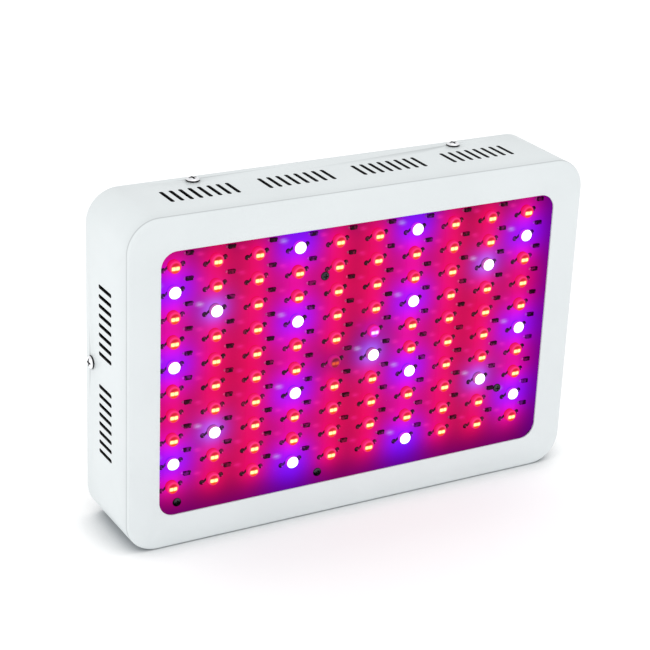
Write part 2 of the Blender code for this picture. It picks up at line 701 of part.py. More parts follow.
def add_drivers():
    back = COVER_INNER_Y - GAP
    for number, z in enumerate((MID_Z - DRIVER_FROM_MID, MID_Z + DRIVER_FROM_MID), 1):
        half_width, half_height = DRIVER_WIDTH / 2, DRIVER_HEIGHT / 2
        bm = rounded_box(
            (-half_width, back - DRIVER_THICKNESS, z - half_height),
            (half_width, back, z + half_height),
            DRIVER_CORNER,
            segments=3,
        )
        name = f"led_driver_{number}"
        add_part(name, to_mesh(bm, name), DRIVER_CASE)


def flanged_body(name, flange, body, length, z, radius):
    """A panel-mounted body with a flange on the outside of the rear cover."""
    face = REAR_Y + GAP + PANEL_FLANGE
    half_x, half_z = flange[0] / 2, flange[1] / 2
    bm = rounded_box((-half_x, REAR_Y + GAP, z - half_z), (half_x, face, z + half_z), radius, segments=3)
    obj = add_part(name, to_mesh(bm, name), BLACK_PLASTIC)
    shank = bmesh.new()
    low = (-body[0] / 2, REAR_Y - length, z - body[1] / 2)
    high = (body[0] / 2, REAR_Y + GAP + PANEL_FLANGE / 2, z + body[1] / 2)
    add_box(shank, low, high)
    boolean(obj, "UNION", shank, f"{name}_body")
    return obj, face


def add_power_inlet():
    inlet, face = flanged_body("power_inlet", INLET_FLANGE, INLET_BODY, INLET_LENGTH, INLET_Z, INLET_CORNER)
    back = REAR_Y - INLET_LENGTH
    floor = back + INLET_FLOOR
    half_x, half_z = INLET_CAVITY[0] / 2, INLET_CAVITY[1] / 2
    cavity = bmesh.new()
    add_box(cavity, (-half_x, floor, INLET_Z - half_z), (half_x, face + CUT, INLET_Z + half_z))
    top_edges = [edge for edge in edges_along(cavity, 1) if edge.verts[0].co.z > INLET_Z]
    bmesh.ops.bevel(cavity, geom=top_edges, offset=INLET_CHAMFER, segments=1, profile=0.5, affect="EDGES")
    boolean(inlet, "DIFFERENCE", cavity, "inlet_cavity")
    slots = bmesh.new()
    half_width, half_height = PIN_SIZE[0] / 2, PIN_SIZE[1] / 2
    for number, (x, z) in enumerate(PIN_PLACES, 1):
        low_x, high_x = x - half_width, x + half_width
        low_z, high_z = INLET_Z + z - half_height, INLET_Z + z + half_height
        low = (low_x - GAP, back - PIN_TAIL, low_z - GAP)
        add_box(slots, low, (high_x + GAP, floor + CUT / 2, high_z + GAP))
        pin = bmesh.new()
        add_box(pin, (low_x, back - PIN_TAIL, low_z), (high_x, REAR_Y - PIN_SET_BACK, high_z))
        name = f"inlet_pin_{number}"
        add_part(name, to_mesh(pin, name), BRASS, smooth=False)
    boolean(inlet, "DIFFERENCE", slots, "pin_slots")


def extruded_outline(name, outline, width):
    """A flat outline of (y, z) points, extruded along X."""
    curve = bpy.data.curves.new(name, "CURVE")
    curve.dimensions = "2D"
    curve.fill_mode = "BOTH"
    curve.extrude = width / 2
    spline = curve.splines.new("POLY")
    spline.points.add(len(outline) - 1)
    for point, (y, z) in zip(spline.points, outline):
        point.co = (y, z, 0, 1)
    spline.use_cyclic_u = True
    mesh = baked(add_object(name, curve, CUTTERS))
    mesh.transform(Matrix(((0, 0, 1, 0), (1, 0, 0, 0), (0, 1, 0, 0), (0, 0, 0, 1))))
    return mesh


def rocker_mesh():
    """The rocker about its pivot: two raised ends, a dip between them, a keel and two trunnions."""
    half, keel = ROCKER_HALF, ROCKER_HALF * 0.44
    face = [(0.0041, half), (0.0024, 0), (0.0041, -half)]
    underside = [(-0.0015, -half), (-0.0040, -keel), (-0.0040, keel), (-0.0015, half)]
    blank = extruded_outline("rocker_outline", face + underside, ROCKER_WIDTH)
    rocker = add_object("rocker_blank", blank, CUTTERS)
    trunnions = bmesh.new()
    reach = ROCKER_WIDTH / 2 + TRUNNION_LENGTH
    add_rod(trunnions, (-reach, 0, 0), (reach, 0, 0), TRUNNION_RADIUS, 16)
    boolean(rocker, "UNION", trunnions, "trunnions")
    return baked(rocker)


def add_switch():
    housing, face = flanged_body(
        "switch_housing", SWITCH_FLANGE, SWITCH_BODY, SWITCH_LENGTH, SWITCH_Z, SWITCH_CORNER
    )
    half_x, half_z = SWITCH_WELL[0] / 2, SWITCH_WELL[1] / 2
    well = bmesh.new()
    add_box(well, (-half_x, face - WELL_DEPTH, SWITCH_Z - half_z), (half_x, face + CUT, SWITCH_Z + half_z))
    boolean(housing, "DIFFERENCE", well, "switch_well")
    pivot_y = face - ROCKER_PIVOT
    bearings = bmesh.new()
    reach = ROCKER_WIDTH / 2 + BEARING_DEPTH
    bore = TRUNNION_RADIUS + TRUNNION_GAP
    add_rod(bearings, (-reach, pivot_y, SWITCH_Z), (reach, pivot_y, SWITCH_Z), bore, 16)
    boolean(housing, "DIFFERENCE", bearings, "trunnion_holes")
    place, tilt = (0, pivot_y, SWITCH_Z), (ROCKER_TILT, 0, 0)
    add_part("switch_rocker", rocker_mesh(), BLACK_PLASTIC, place, tilt, smooth=False)


# ---- Hangers ------------------------------------------------------------------------------


def hanger_ring_mesh():
    """A D-shaped wire ring about its straight bar, which is the X axis. It hangs down."""
    half = RING_WIDTH / 2
    corner = 0.004
    points = [Vector((-half + corner, 0, 0)), Vector((half - corner, 0, 0))]
    points += arc((half - corner, -corner), corner, 60, 0, 2)
    sweep = 8
    drop = RING_DROP - corner
    for step in range(sweep + 1):
        angle = math.pi * step / sweep
        depth = corner + drop * (0.25 + 0.75 * math.sin(angle))
        points.append(Vector((half * math.cos(angle), 0, -depth)))
    points += arc((-half + corner, -corner), corner, 180, 120, 2)
    return wire_mesh(points, RING_WIRE, cyclic=True)


def arc(centre, radius, first, last, steps):
    """Points in the XZ plane along an arc, by angles in degrees from +X towards +Z."""
    for step in range(steps):
        angle = math.radians(first + (last - first) * step / (steps - 1))
        yield Vector((centre[0] + radius * math.cos(angle), 0, centre[1] + radius * math.sin(angle)))


def wire_mesh(points, radius, cyclic=False):
    """A round wire along the points, as a mesh."""
    curve = bpy.data.curves.new("wire", "CURVE")
    curve.dimensions = "3D"
    curve.bevel_depth = radius
    curve.bevel_resolution = 2
    curve.use_fill_caps = not cyclic
    spline = curve.splines.new("POLY")
    spline.points.add(len(points) - 1)
    for point, place in zip(spline.points, points):
        point.co = (*place, 1)
    spline.use_cyclic_u = cyclic
    return baked(add_object("wire", curve, CUTTERS))


def hanger_strap_mesh():
    """A strip bent over the ring's bar, with a foot above and below it, about the bar's axis."""
    foot_y = STRAP_THICKNESS + GAP - RING_AXIS_RISE
    inner = HANGER_RISE - RING_AXIS_RISE
    side = [(foot_y, -STRAP_FOOT - inner), (foot_y, -inner)]
    angles = [math.pi * step / 6 for step in range(7)]
    bend = [(inner * math.sin(angle), -inner * math.cos(angle)) for angle in angles]
    line = side + bend + [(foot_y, inner), (foot_y, STRAP_FOOT + inner)]
    bm = bmesh.new()
    rows = []
    for y, z in line:
        rows.append([bm.verts.new((x, y, z)) for x in (-STRAP_WIDTH / 2, STRAP_WIDTH / 2)])
    for lower, upper in zip(rows, rows[1:]):
        bm.faces.new((lower[0], lower[1], upper[1], upper[0]))
    bmesh.ops.recalc_face_normals(bm, faces=bm.faces)
    strap = add_object("strap", to_mesh(bm), CUTTERS)
    outwards = strap.data.polygons[0].normal.y > 0
    solidify(strap, STRAP_THICKNESS, offset=-1.0 if outwards else 1.0)
    return baked(strap)


def add_hangers():
    ring, strap = hanger_ring_mesh(), hanger_strap_mesh()
    number = 0
    for z in HANGER_Z:
        for x in (-HANGER_X, HANGER_X):
            number += 1
            place = (x, REAR_Y + RING_AXIS_RISE, z)
            add_part(f"hanger_strap_{number}", strap, ZINC, place)
            add_part(f"hanger_ring_{number}", ring, CHROME, place)


# ---- Leads inside the case ----------------------------------------------------------------


def smooth_route(points, steps):
    """A Catmull-Rom curve through the points, with this many points in each stretch."""
    points = [Vector(point) for point in points]
    padded = [2 * points[0] - points[1], *points, 2 * points[-1] - points[-2]]
    route = []
    for a, b, c, d in zip(padded, padded[1:], padded[2:], padded[3:]):
        for step in range(steps):
            t = step / steps
            square, cube = (2 * a - 5 * b + 4 * c - d) * t**2, (3 * b - a - 3 * c + d) * t**3
            route.append(0.5 * (2 * b + (c - a) * t + square + cube))
    return [*route, points[-1]]


def add_leads():
    terminal_y = REAR_Y - INLET_LENGTH - PIN_TAIL - GAP
    switch_back = REAR_Y - SWITCH_LENGTH - GAP
    driver_mid = COVER_INNER_Y - DRIVER_THICKNESS / 2
    driver_top = MID_Z + DRIVER_FROM_MID - DRIVER_HEIGHT / 2
    driver_base = MID_Z - DRIVER_FROM_MID + DRIVER_HEIGHT / 2
    first_pin, last_pin = PIN_PLACES[0], PIN_PLACES[-1]
    edge_x = BOARD_WIDTH / 2 + 0.0028
    pad_y = at_depth(BOARD_DEPTH) - GAP - WIRE_RADIUS
    end_x = DRIVER_WIDTH / 2 + GAP
    sink_back = at_depth(SINK_DEPTH + SINK_BASE + 0.002)
    routes = {
        "mains_lead": [
            (last_pin[0], terminal_y, INLET_Z + last_pin[1]),
            (last_pin[0], terminal_y - STRAIGHT_END, INLET_Z + last_pin[1]),
            (0.008, terminal_y - STRAIGHT_END, INLET_Z + 0.012),
            (0.004, switch_back - 0.005, SWITCH_Z - 0.010),
            (0.002, switch_back - STRAIGHT_END, SWITCH_Z - 0.006),
            (0.002, switch_back, SWITCH_Z - 0.006),
        ],
        "driver_lead_1": [
            (first_pin[0], terminal_y, INLET_Z + first_pin[1]),
            (first_pin[0], terminal_y - STRAIGHT_END, INLET_Z + first_pin[1]),
            (-0.010, driver_mid - 0.010, INLET_Z - 0.022),
            (-0.010, driver_mid, driver_base + 0.006),
            (-0.010, driver_mid, driver_base + GAP),
        ],
        "driver_lead_2": [
            (-0.002, switch_back, SWITCH_Z + 0.006),
            (-0.002, switch_back - STRAIGHT_END, SWITCH_Z + 0.006),
            (-0.006, driver_mid - 0.006, SWITCH_Z + 0.020),
            (-0.008, driver_mid, driver_top - 0.006),
            (-0.008, driver_mid, driver_top - GAP),
        ],
    }
    frame_top = MID_Z + FAN_SIZE / 2 + GAP
    for number, side in enumerate((-1, 1), 1):
        routes[f"fan_lead_{number}"] = [
            (side * 0.055, driver_mid, frame_top),
            (side * 0.055, driver_mid, frame_top + STRAIGHT_END),
            (side * 0.048, driver_mid, driver_top - 0.004),
            (side * 0.048, driver_mid, driver_top - GAP),
        ]
    # Each driver feeds one string: a red and a black lead go round the edge of the board to its pads.
    for number, side, driver_z, pad_z in (
        (1, -1, MID_Z - DRIVER_FROM_MID, 0.070),
        (2, 1, MID_Z + DRIVER_FROM_MID, 0.137),
    ):
        for colour, step in (("red", -1), ("black", 1)):
            z = pad_z + step * 0.0028
            start_z = driver_z + step * 0.004
            routes[f"{colour}_led_lead_{number}"] = [
                (side * end_x, driver_mid, start_z),
                (side * (end_x + 0.012), driver_mid, start_z),
                (side * 0.118, driver_mid - 0.004, start_z + (z - start_z) * 0.2),
                (side * 0.140, sink_back + 0.010, start_z + (z - start_z) * 0.7),
                (side * edge_x, sink_back + 0.002, z),
                (side * edge_x, at_depth(BOARD_DEPTH), z),
                (side * (edge_x - 0.0012), pad_y, z),
                (side * (edge_x - 0.0065), pad_y, z - 0.001),
            ]
    for name, points in routes.items():
        material = RED_LEAD if name.startswith("red") else BLACK_LEAD
        steps = 2 if "led_lead" in name else 1
        add_part(name, wire_mesh(smooth_route(points, steps), WIRE_RADIUS), material)


add_front_housing()
add_rear_cover()
add_led_board()
for string_number in range(STRINGS):
    add_led_string(string_number)
add_heat_sink()
add_fans()
add_screws()
add_drivers()
add_power_inlet()
add_switch()
add_hangers()
add_leads()
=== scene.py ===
"""Looks of the LED grow light: fine sheet metal, lit LEDs, board glow, fans, guards and mains parts."""

import json
import math

import bmesh
import bpy
import numpy as np
from mathutils import Matrix, Vector

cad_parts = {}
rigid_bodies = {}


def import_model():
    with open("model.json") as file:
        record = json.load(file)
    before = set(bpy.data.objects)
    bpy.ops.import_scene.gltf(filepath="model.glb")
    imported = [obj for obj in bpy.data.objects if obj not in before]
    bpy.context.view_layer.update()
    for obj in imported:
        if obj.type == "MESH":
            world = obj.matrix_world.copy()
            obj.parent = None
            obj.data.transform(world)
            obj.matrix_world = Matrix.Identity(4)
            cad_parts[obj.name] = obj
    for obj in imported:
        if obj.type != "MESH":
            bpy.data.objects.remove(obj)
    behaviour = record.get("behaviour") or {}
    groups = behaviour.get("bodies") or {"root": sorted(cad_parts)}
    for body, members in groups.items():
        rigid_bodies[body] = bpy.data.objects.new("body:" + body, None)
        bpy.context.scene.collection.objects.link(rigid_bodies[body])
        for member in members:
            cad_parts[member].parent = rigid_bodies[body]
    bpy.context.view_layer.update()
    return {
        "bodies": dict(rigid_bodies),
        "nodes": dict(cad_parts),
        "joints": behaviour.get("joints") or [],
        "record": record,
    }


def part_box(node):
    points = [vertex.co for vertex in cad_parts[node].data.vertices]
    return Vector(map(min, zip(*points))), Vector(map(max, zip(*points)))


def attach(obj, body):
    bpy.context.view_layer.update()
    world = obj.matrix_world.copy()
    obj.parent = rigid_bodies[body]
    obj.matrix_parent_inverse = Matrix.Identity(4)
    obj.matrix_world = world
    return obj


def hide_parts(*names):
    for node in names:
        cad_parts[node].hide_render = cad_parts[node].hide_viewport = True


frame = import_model()

MM = 0.001

# ---- Places taken from the frame -----------------------------------------------------------

case_low, case_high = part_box("front_housing")
cover_low, cover_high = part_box("rear_cover")
board_low, board_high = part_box("led_board")
WIDTH, HEIGHT = case_high.x - case_low.x, case_high.z - case_low.z
FRONT, REAR = case_low.y, case_high.y
MID_Z = (case_low.z + case_high.z) / 2
BOARD_FACE = board_low.y
LED_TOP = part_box("led_string_1")[0].y

SHEET = 1.0 * MM
CORNER, FOLD = 20 * MM, 2 * MM
WINDOW_WIDTH, WINDOW_HEIGHT, WINDOW_CORNER = 268.5 * MM, 168 * MM, 10 * MM
SLOT_WIDTH, SLOT_LENGTH, SLOT_PITCH, SLOTS_IN_GROUP = 2.6 * MM, 18.5 * MM, 6.04 * MM, 8
SLOT_Y = FRONT + 31.8 * MM
LONG_SIDE_GROUPS = (-95.3 * MM, -31.8 * MM, 31.8 * MM, 95.3 * MM)
SHORT_SIDE_GROUPS = (-31.7 * MM, 31.7 * MM)
EASE = 0.2 * MM  # the small rounding of a punched edge

COLUMNS, ROWS = 10, 10
PITCH_X, PITCH_Z = 27.0 * MM, 15.7 * MM
SPARE_HOLE = Vector((15.2 * MM, 57.6 * MM))


def middle_of(name):
    """The centre of a CAD node."""
    low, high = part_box(name)
    return (low + high) / 2


def hole_places(prefix, count):
    """The centre of each numbered CAD node of this name."""
    return [middle_of(f"{prefix}_{number}") for number in range(1, count + 1)]


# ---- Mesh tools ----------------------------------------------------------------------------


def new_object(name, data):
    obj = bpy.data.objects.new(name, data)
    bpy.context.scene.collection.objects.link(obj)
    return obj


def finished(bm, name):
    mesh = bpy.data.meshes.new(name)
    bm.normal_update()
    bm.to_mesh(mesh)
    bm.free()
    return mesh


def smooth(mesh, angle=40):
    mesh.shade_smooth()
    mesh.set_sharp_from_angle(angle=math.radians(angle))


def modified(mesh, kind, **settings):
    """mesh with one modifier applied."""
    body = new_object("body", mesh)
    modifier = body.modifiers.new("change", kind)
    for name, value in settings.items():
        setattr(modifier, name, value)
    graph = bpy.context.evaluated_depsgraph_get()
    result = bpy.data.meshes.new_from_object(body.evaluated_get(graph))
    bpy.data.objects.remove(body, do_unlink=True)
    return result


def placed(mesh, matrix):
    """A copy of mesh, moved by matrix."""
    copy = mesh.copy()
    copy.transform(matrix)
    return copy


def block(bm, low, high):
    """Adds a box to bm."""
    low, high = Vector(low), Vector(high)
    place = Matrix.Translation((low + high) / 2) @ Matrix.Diagonal((*(high - low), 1))
    return bmesh.ops.create_cube(bm, size=1, matrix=place)["verts"]


def rod(bm, start, end, radius, sides, end_radius=None):
    start, end = Vector(start), Vector(end)
    turn = (end - start).to_track_quat("Z", "Y").to_matrix().to_4x4()
    matrix = Matrix.Translation((start + end) / 2) @ turn
    radii = {"radius1": radius, "radius2": radius if end_radius is None else end_radius}
    depth = (end - start).length
    bmesh.ops.create_cone(bm, cap_ends=True, segments=sides, depth=depth, matrix=matrix, **radii)


def bevel(bm, edges, offset, segments):
    bmesh.ops.bevel(bm, geom=edges, offset=offset, segments=segments, profile=0.5, affect="EDGES")


def edges_along(bm, axis):
    found = []
    for edge in bm.edges:
        step = edge.verts[1].co - edge.verts[0].co
        if abs(step[axis]) > 0.999 * step.length:
            found.append(edge)
    return found


def round_box(low, high, radius, segments):
    """A box whose four edges along Y are rounded."""
    bm = bmesh.new()
    block(bm, low, high)
    bevel(bm, edges_along(bm, 1), radius, segments)
    return bm


def add_shape(bm, other, matrix=None, material=None):
    """Adds the faces of the bmesh or mesh other to bm."""
    mesh = other if isinstance(other, bpy.types.Mesh) else finished(other, "shape")
    first = len(bm.faces)
    start = len(bm.verts)
    bm.from_mesh(mesh)
    if not isinstance(other, bpy.types.Mesh):
        bpy.data.meshes.remove(mesh)
    bm.verts.ensure_lookup_table()
    bm.faces.ensure_lookup_table()
    if matrix is not None:
        bmesh.ops.transform(bm, matrix=matrix, verts=bm.verts[start:])
    if material is not None:
        for face in bm.faces[first:]:
            face.material_index = material
    return bm.verts[start:]


def boolean(mesh, operation, *cutters):
    """mesh cut or joined with each bmesh in turn."""
    for cutter in cutters:
        tool = new_object("tool", finished(cutter, "tool"))
        mesh = modified(mesh, "BOOLEAN", operation=operation, solver="EXACT", object=tool)
        bpy.data.objects.remove(tool, do_unlink=True)
    return mesh


def eased(mesh, width=EASE, segments=2, angle=50):
    """mesh with its sharp edges rounded."""
    limit = {"limit_method": "ANGLE", "angle_limit": math.radians(angle), "use_clamp_overlap": True}
    return modified(mesh, "BEVEL", width=width, segments=segments, **limit)


def thickened(mesh, thickness, offset=-1.0, inner=0):
    """The surface mesh as a sheet. Its inner side takes the material inner places further on."""
    settings = {"thickness": thickness, "offset": offset, "use_even_offset": True, "material_offset": inner}
    return modified(mesh, "SOLIDIFY", **settings)


def lathe(profile, steps):
    """A turned shape about Z from (radius, height) points, which run down its outer side."""
    bm = bmesh.new()
    rings = []
    for radius, height in profile:
        if radius < 1e-9:
            rings.append([bm.verts.new((0, 0, height))])
            continue
        ring = []
        for step in range(steps):
            angle = 2 * math.pi * step / steps
            ring.append(bm.verts.new((radius * math.cos(angle), radius * math.sin(angle), height)))
        rings.append(ring)
    for upper, lower in zip(rings, rings[1:]):
        for step in range(steps):
            after = (step + 1) % steps
            corners = [upper[step % len(upper)], lower[step % len(lower)], lower[after % len(lower)]]
            corners.append(upper[after % len(upper)])
            loop = [corner for number, corner in enumerate(corners) if corner not in corners[:number]]
            bm.faces.new(loop)
    return bm


def tube(points, radius, sides, closed=False):
    """A round wire along the points."""
    bm = bmesh.new()
    points = [Vector(point) for point in points]
    count = len(points)
    rings = []
    side = None
    for number, point in enumerate(points):
        if closed:
            before, after = points[number - 1], points[(number + 1) % count]
        else:
            before, after = points[max(number - 1, 0)], points[min(number + 1, count - 1)]
        along = (after - before).normalized()
        if side is None:
            side = along.orthogonal().normalized()
        side = (side - along * side.dot(along)).normalized()
        other = along.cross(side)
        ring = []
        for step in range(sides):
            angle = 2 * math.pi * step / sides
            ring.append(bm.verts.new(point + radius * (math.cos(angle) * side + math.sin(angle) * other)))
        rings.append(ring)
    pairs = list(zip(rings, rings[1:]))
    if closed:
        first, last = rings[0], rings[-1]
        shift = min(range(sides), key=lambda turn: (first[turn].co - last[0].co).length)
        pairs.append((last, first[shift:] + first[:shift]))
    for ring, following in pairs:
        for step in range(sides):
            after = (step + 1) % sides
            bm.faces.new((ring[step], ring[after], following[after], following[step]))
    if not closed:
        bm.faces.new(rings[0][::-1])
        bm.faces.new(rings[-1])
    bmesh.ops.recalc_face_normals(bm, faces=bm.faces)
    return bm


def ring_points(radius, steps, y=0.0):
    for step in range(steps):
        angle = 2 * math.pi * step / steps
        yield Vector((radius * math.cos(angle), y, radius * math.sin(angle)))


def piece(name, mesh, materials, body, replaces, angle=40):
    """A visible piece: shaded, finished, on its body, and standing for its CAD nodes."""
    smooth(mesh, angle)
    slots = np.zeros(len(mesh.polygons), np.int32)
    mesh.polygons.foreach_get("material_index", slots)
    mesh.materials.clear()
    for material in materials:
        mesh.materials.append(material)
    mesh.polygons.foreach_set("material_index", slots)
    obj = new_object(name, mesh)
    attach(obj, body)
    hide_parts(*replaces)
    return obj


# ---- Materials -----------------------------------------------------------------------------


class Nodes:
    """A short way to write a node material."""

    def __init__(self, name):
        self.material = bpy.data.materials.new(name)
        self.material.use_nodes = True
        self.tree = self.material.node_tree
        self.shader = self.tree.nodes["Principled BSDF"]

    def set(self, **values):
        for name, value in values.items():
            socket = self.shader.inputs[name.replace("_", " ")]
            if isinstance(value, bpy.types.NodeSocket):
                self.tree.links.new(value, socket)
            else:
                socket.default_value = value
        return self

    def node(self, kind, **inputs):
        node = self.tree.nodes.new(f"ShaderNode{kind}")
        for name, value in inputs.items():
            socket = node.inputs[int(name[1:]) if name[1:].isdigit() else name.replace("_", " ")]
            if isinstance(value, bpy.types.NodeSocket):
                self.tree.links.new(value, socket)
            else:
                socket.default_value = value
        return node

    def place(self):
        """Object coordinates, in metres."""
        return self.node("TexCoord").outputs["Object"]

    def normal(self):
        return self.node("TexCoord").outputs["Normal"]

    def attribute(self, name, output="Color"):
        node = self.tree.nodes.new("ShaderNodeAttribute")
        node.attribute_name = name
        return node.outputs[output]

    def noise(self, scale, detail=2.0, roughness=0.5):
        looks = {"Scale": scale, "Detail": detail, "Roughness": roughness}
        return self.node("TexNoise", Vector=self.place(), **looks).outputs["Fac"]

    def math(self, operation, first, second=0.0):
        node = self.node("Math", i0=first, i1=second)
        node.operation = operation
        return node.outputs[0]

    def times(self, first, second):
        return self.math("MULTIPLY", first, second)

    def size(self, value):
        return self.math("ABSOLUTE", value)

    def axes(self, vector):
        """The three numbers of a vector."""
        return self.node("SeparateXYZ", Vector=vector).outputs

    def scaled(self, vector, share):
        node = self.node("VectorMath", i0=vector)
        node.operation = "SCALE"
        self.tree.links.new(share, node.inputs["Scale"])
        return node.outputs[0]

    def lit(self, colour):
        """A surface whose colour is painted light: it glows with this colour without being a lamp."""
        self.set(Emission_Color=colour, Emission_Strength=1.0)
        self.material.cycles.emission_sampling = "NONE"
        return self.material

    def length(self, first, second):
        squares = [self.times(value, value) for value in (first, second)]
        return self.math("SQRT", self.math("ADD", *squares))

    def remap(self, value, from_low, from_high, to_low=0.0, to_high=1.0):
        node = self.node("MapRange", Value=value)
        node.interpolation_type = "SMOOTHSTEP"
        limits = {"From Min": from_low, "From Max": from_high, "To Min": to_low, "To Max": to_high}
        for name, number in limits.items():
            node.inputs[name].default_value = number
        return node.outputs[0]

    def mix(self, share, first, second):
        node = self.tree.nodes.new("ShaderNodeMix")
        node.data_type = "RGBA"
        for index, value in ((0, share), (6, first), (7, second)):
            if isinstance(value, bpy.types.NodeSocket):
                self.tree.links.new(value, node.inputs[index])
            else:
                node.inputs[index].default_value = value if index == 0 else (*value, 1.0)
        return node.outputs[2]

    def bump(self, height, distance, strength=1.0):
        return self.node("Bump", Strength=strength, Distance=distance, Height=height).outputs["Normal"]


def coated_steel():
    """White powder coat: a faint orange peel, with slight differences of gloss and tone, and a painted shade
    line along the fold round the front.
    """
    n = Nodes("powder_coat")
    peel = n.noise(900.0, 3.0)
    tone = n.mix(n.remap(n.noise(22.0, 3.0), 0.3, 0.7), (0.700, 0.742, 0.752), (0.718, 0.760, 0.770))
    facing = n.times(n.axes(n.normal())[1], -1.0)
    fold_shade = n.times(n.remap(facing, 0.03, 0.20), n.remap(facing, 0.62, 0.36))  # painted shade: a darker line along the fold round the front
    tone = n.mix(fold_shade, tone, (0.50, 0.53, 0.54))
    n.set(Base_Color=tone, Roughness=n.remap(n.noise(60.0, 2.0), 0.2, 0.8, 0.36, 0.46))
    n.set(Normal=n.bump(peel, 0.00003, 0.35), Specular_IOR_Level=0.4)
    return n.material


def inner_shade_material():
    """Painted shade for the unlit inner side of the case: a near-black surface."""
    n = Nodes("painted_inner_shade")
    n.set(Base_Color=n.mix(n.noise(120.0), (0.012, 0.012, 0.013), (0.024, 0.024, 0.026)), Roughness=0.7)
    return n.material


def plated(name, light, dark, low=0.12, high=0.26):
    """Bright plating with faint polishing marks."""
    n = Nodes(name)
    marks = n.noise(700.0, 4.0, 0.6)
    n.set(Base_Color=n.mix(n.noise(150.0, 3.0), dark, light), Metallic=1.0)
    n.set(Roughness=n.remap(marks, 0.2, 0.8, low, high), Normal=n.bump(marks, 0.00001, 0.3))
    return n.material


def moulded(name, light, dark, low, high, grain=1800.0):
    """Moulded plastic with a fine grain."""
    n = Nodes(name)
    texture = n.noise(grain, 2.0)
    n.set(Base_Color=n.mix(n.noise(80.0, 3.0), dark, light), Roughness=n.remap(texture, 0.2, 0.8, low, high))
    n.set(Normal=n.bump(texture, 0.00003, 0.35))
    return n.material


def insulation(name, light, dark):
    n = Nodes(name)
    n.set(Base_Color=n.mix(n.noise(260.0, 3.0), dark, light))
    n.set(Roughness=n.remap(n.noise(500.0), 0.2, 0.8, 0.3, 0.45))
    return n.material


COAT, INNER_SHADE = coated_steel(), inner_shade_material()
CHROME = plated("bright_plate", (0.86, 0.87, 0.89), (0.72, 0.73, 0.76))
ZINC = plated("zinc_plate", (0.72, 0.73, 0.75), (0.58, 0.60, 0.63), 0.24, 0.42)
NICKEL = plated("nickel_brass", (0.80, 0.76, 0.66), (0.66, 0.61, 0.50), 0.18, 0.32)
ALUMINIUM = plated("extruded_aluminium", (0.76, 0.77, 0.79), (0.62, 0.63, 0.66), 0.28, 0.45)
BLACK_OXIDE = plated("black_oxide", (0.07, 0.07, 0.08), (0.03, 0.03, 0.035), 0.25, 0.45)
FAN_PLASTIC = moulded("fan_plastic", (0.022, 0.022, 0.024), (0.012, 0.012, 0.013), 0.36, 0.52)
INLET_PLASTIC = moulded("inlet_plastic", (0.020, 0.020, 0.022), (0.011, 0.011, 0.012), 0.30, 0.44, 1200.0)
ROCKER_PLASTIC = moulded("rocker_plastic", (0.016, 0.016, 0.018), (0.009, 0.009, 0.010), 0.16, 0.26, 900.0)
DRIVER_PLASTIC = moulded("driver_plastic", (0.055, 0.055, 0.060), (0.040, 0.040, 0.045), 0.42, 0.56)
BRIGHT_SCREW = plated("bright_screw_plate", (0.95, 0.95, 0.97), (0.80, 0.81, 0.84), 0.06, 0.16)
RECESS = moulded("recess_shadow", (0.006, 0.006, 0.007), (0.003, 0.003, 0.003), 0.6, 0.8)
ROTOR_PLASTIC = moulded("rotor_plastic", (0.030, 0.030, 0.033), (0.018, 0.018, 0.020), 0.28, 0.42)
RED_WIRE = insulation("red_insulation", (0.78, 0.02, 0.02), (0.52, 0.008, 0.012))
BLACK_WIRE = insulation("black_insulation", (0.020, 0.019, 0.020), (0.010, 0.010, 0.011))


# ---- LEDs: where they are and what they give -----------------------------------------------

WHITE_LEDS = ((1, 2), (1, 7), (5, 5), (8, 2), (8, 7))
BLUE_LEDS = (
    *((3, 0), (6, 0), (0, 1), (9, 1), (3, 3), (6, 3), (0, 4)),
    *((9, 5), (3, 6), (6, 6), (0, 8), (9, 8), (3, 9), (6, 9)),
)
INFRARED_LEDS, VIOLET_LEDS = ((4, 5),), ((5, 4),)
RED, BLUE, WHITE, INFRARED, VIOLET = range(5)
KIND_PLACES = ((WHITE, WHITE_LEDS), (BLUE, BLUE_LEDS), (INFRARED, INFRARED_LEDS), (VIOLET, VIOLET_LEDS))


def led_kind(column, row):
    for kind, places in KIND_PLACES:
        if (column, row) in places:
            return kind
    return RED


def led_place(column, row):
    """(x, z) of an LED. Column 0 is at -X and row 0 at the top."""
    x = (column - (COLUMNS - 1) / 2) * PITCH_X
    z = MID_Z + ((ROWS - 1) / 2 - row) * PITCH_Z
    return x, z


LEDS = [(*led_place(column, row), led_kind(column, row)) for column in range(COLUMNS) for row in range(ROWS)]

# What each kind throws on the board: colour, and how far it reaches.
THROW = {
    RED: ((1.30, 0.0, 0.0), 12.0 * MM),
    BLUE: ((0.0, 0.006, 4.4), 11.8 * MM),
    WHITE: ((0.0, 0.10, 2.2), 8.7 * MM),
    INFRARED: ((0.02, 0.0, 0.02), 8.0 * MM),
    VIOLET: ((0.30, 0.0, 0.20), 9.0 * MM),
}
# The halo close round each LED, and the painted reflection that each leaves as a soft spot beside it on the
# shiny mask.
HALO = {
    RED: (0.34, 0.0, 0.02),
    BLUE: (0.0, 0.0, 0.60),
    WHITE: (0.10, 0.08, 0.30),
    INFRARED: (0.03, 0.0, 0.01),
    VIOLET: (0.12, 0.0, 0.10),
}
AMBIENT = (0.050, 0.0, 0.016)  # light that comes back from the inside of the case
EDGE_LIGHT, EDGE_REACH = (0.030, 0.0, 0.22), 14 * MM  # more of it near the edges of the board
HALO_REACH = 5.6 * MM
REFLECTED_SPOT = {
    RED: (0.85, 0.01, 0.14),
    BLUE: (0.20, 0.30, 0.9),
    WHITE: (0.34, 0.38, 0.80),
    INFRARED: (0.05, 0.0, 0.04),
    VIOLET: (0.30, 0.0, 0.12),
}
SPOT_OFFSET = Vector((-9.5 * MM, 4.5 * MM))
SPOT_SIZE = (2.1 * MM, 1.0 * MM)
SPOT_TILT = math.radians(-14)


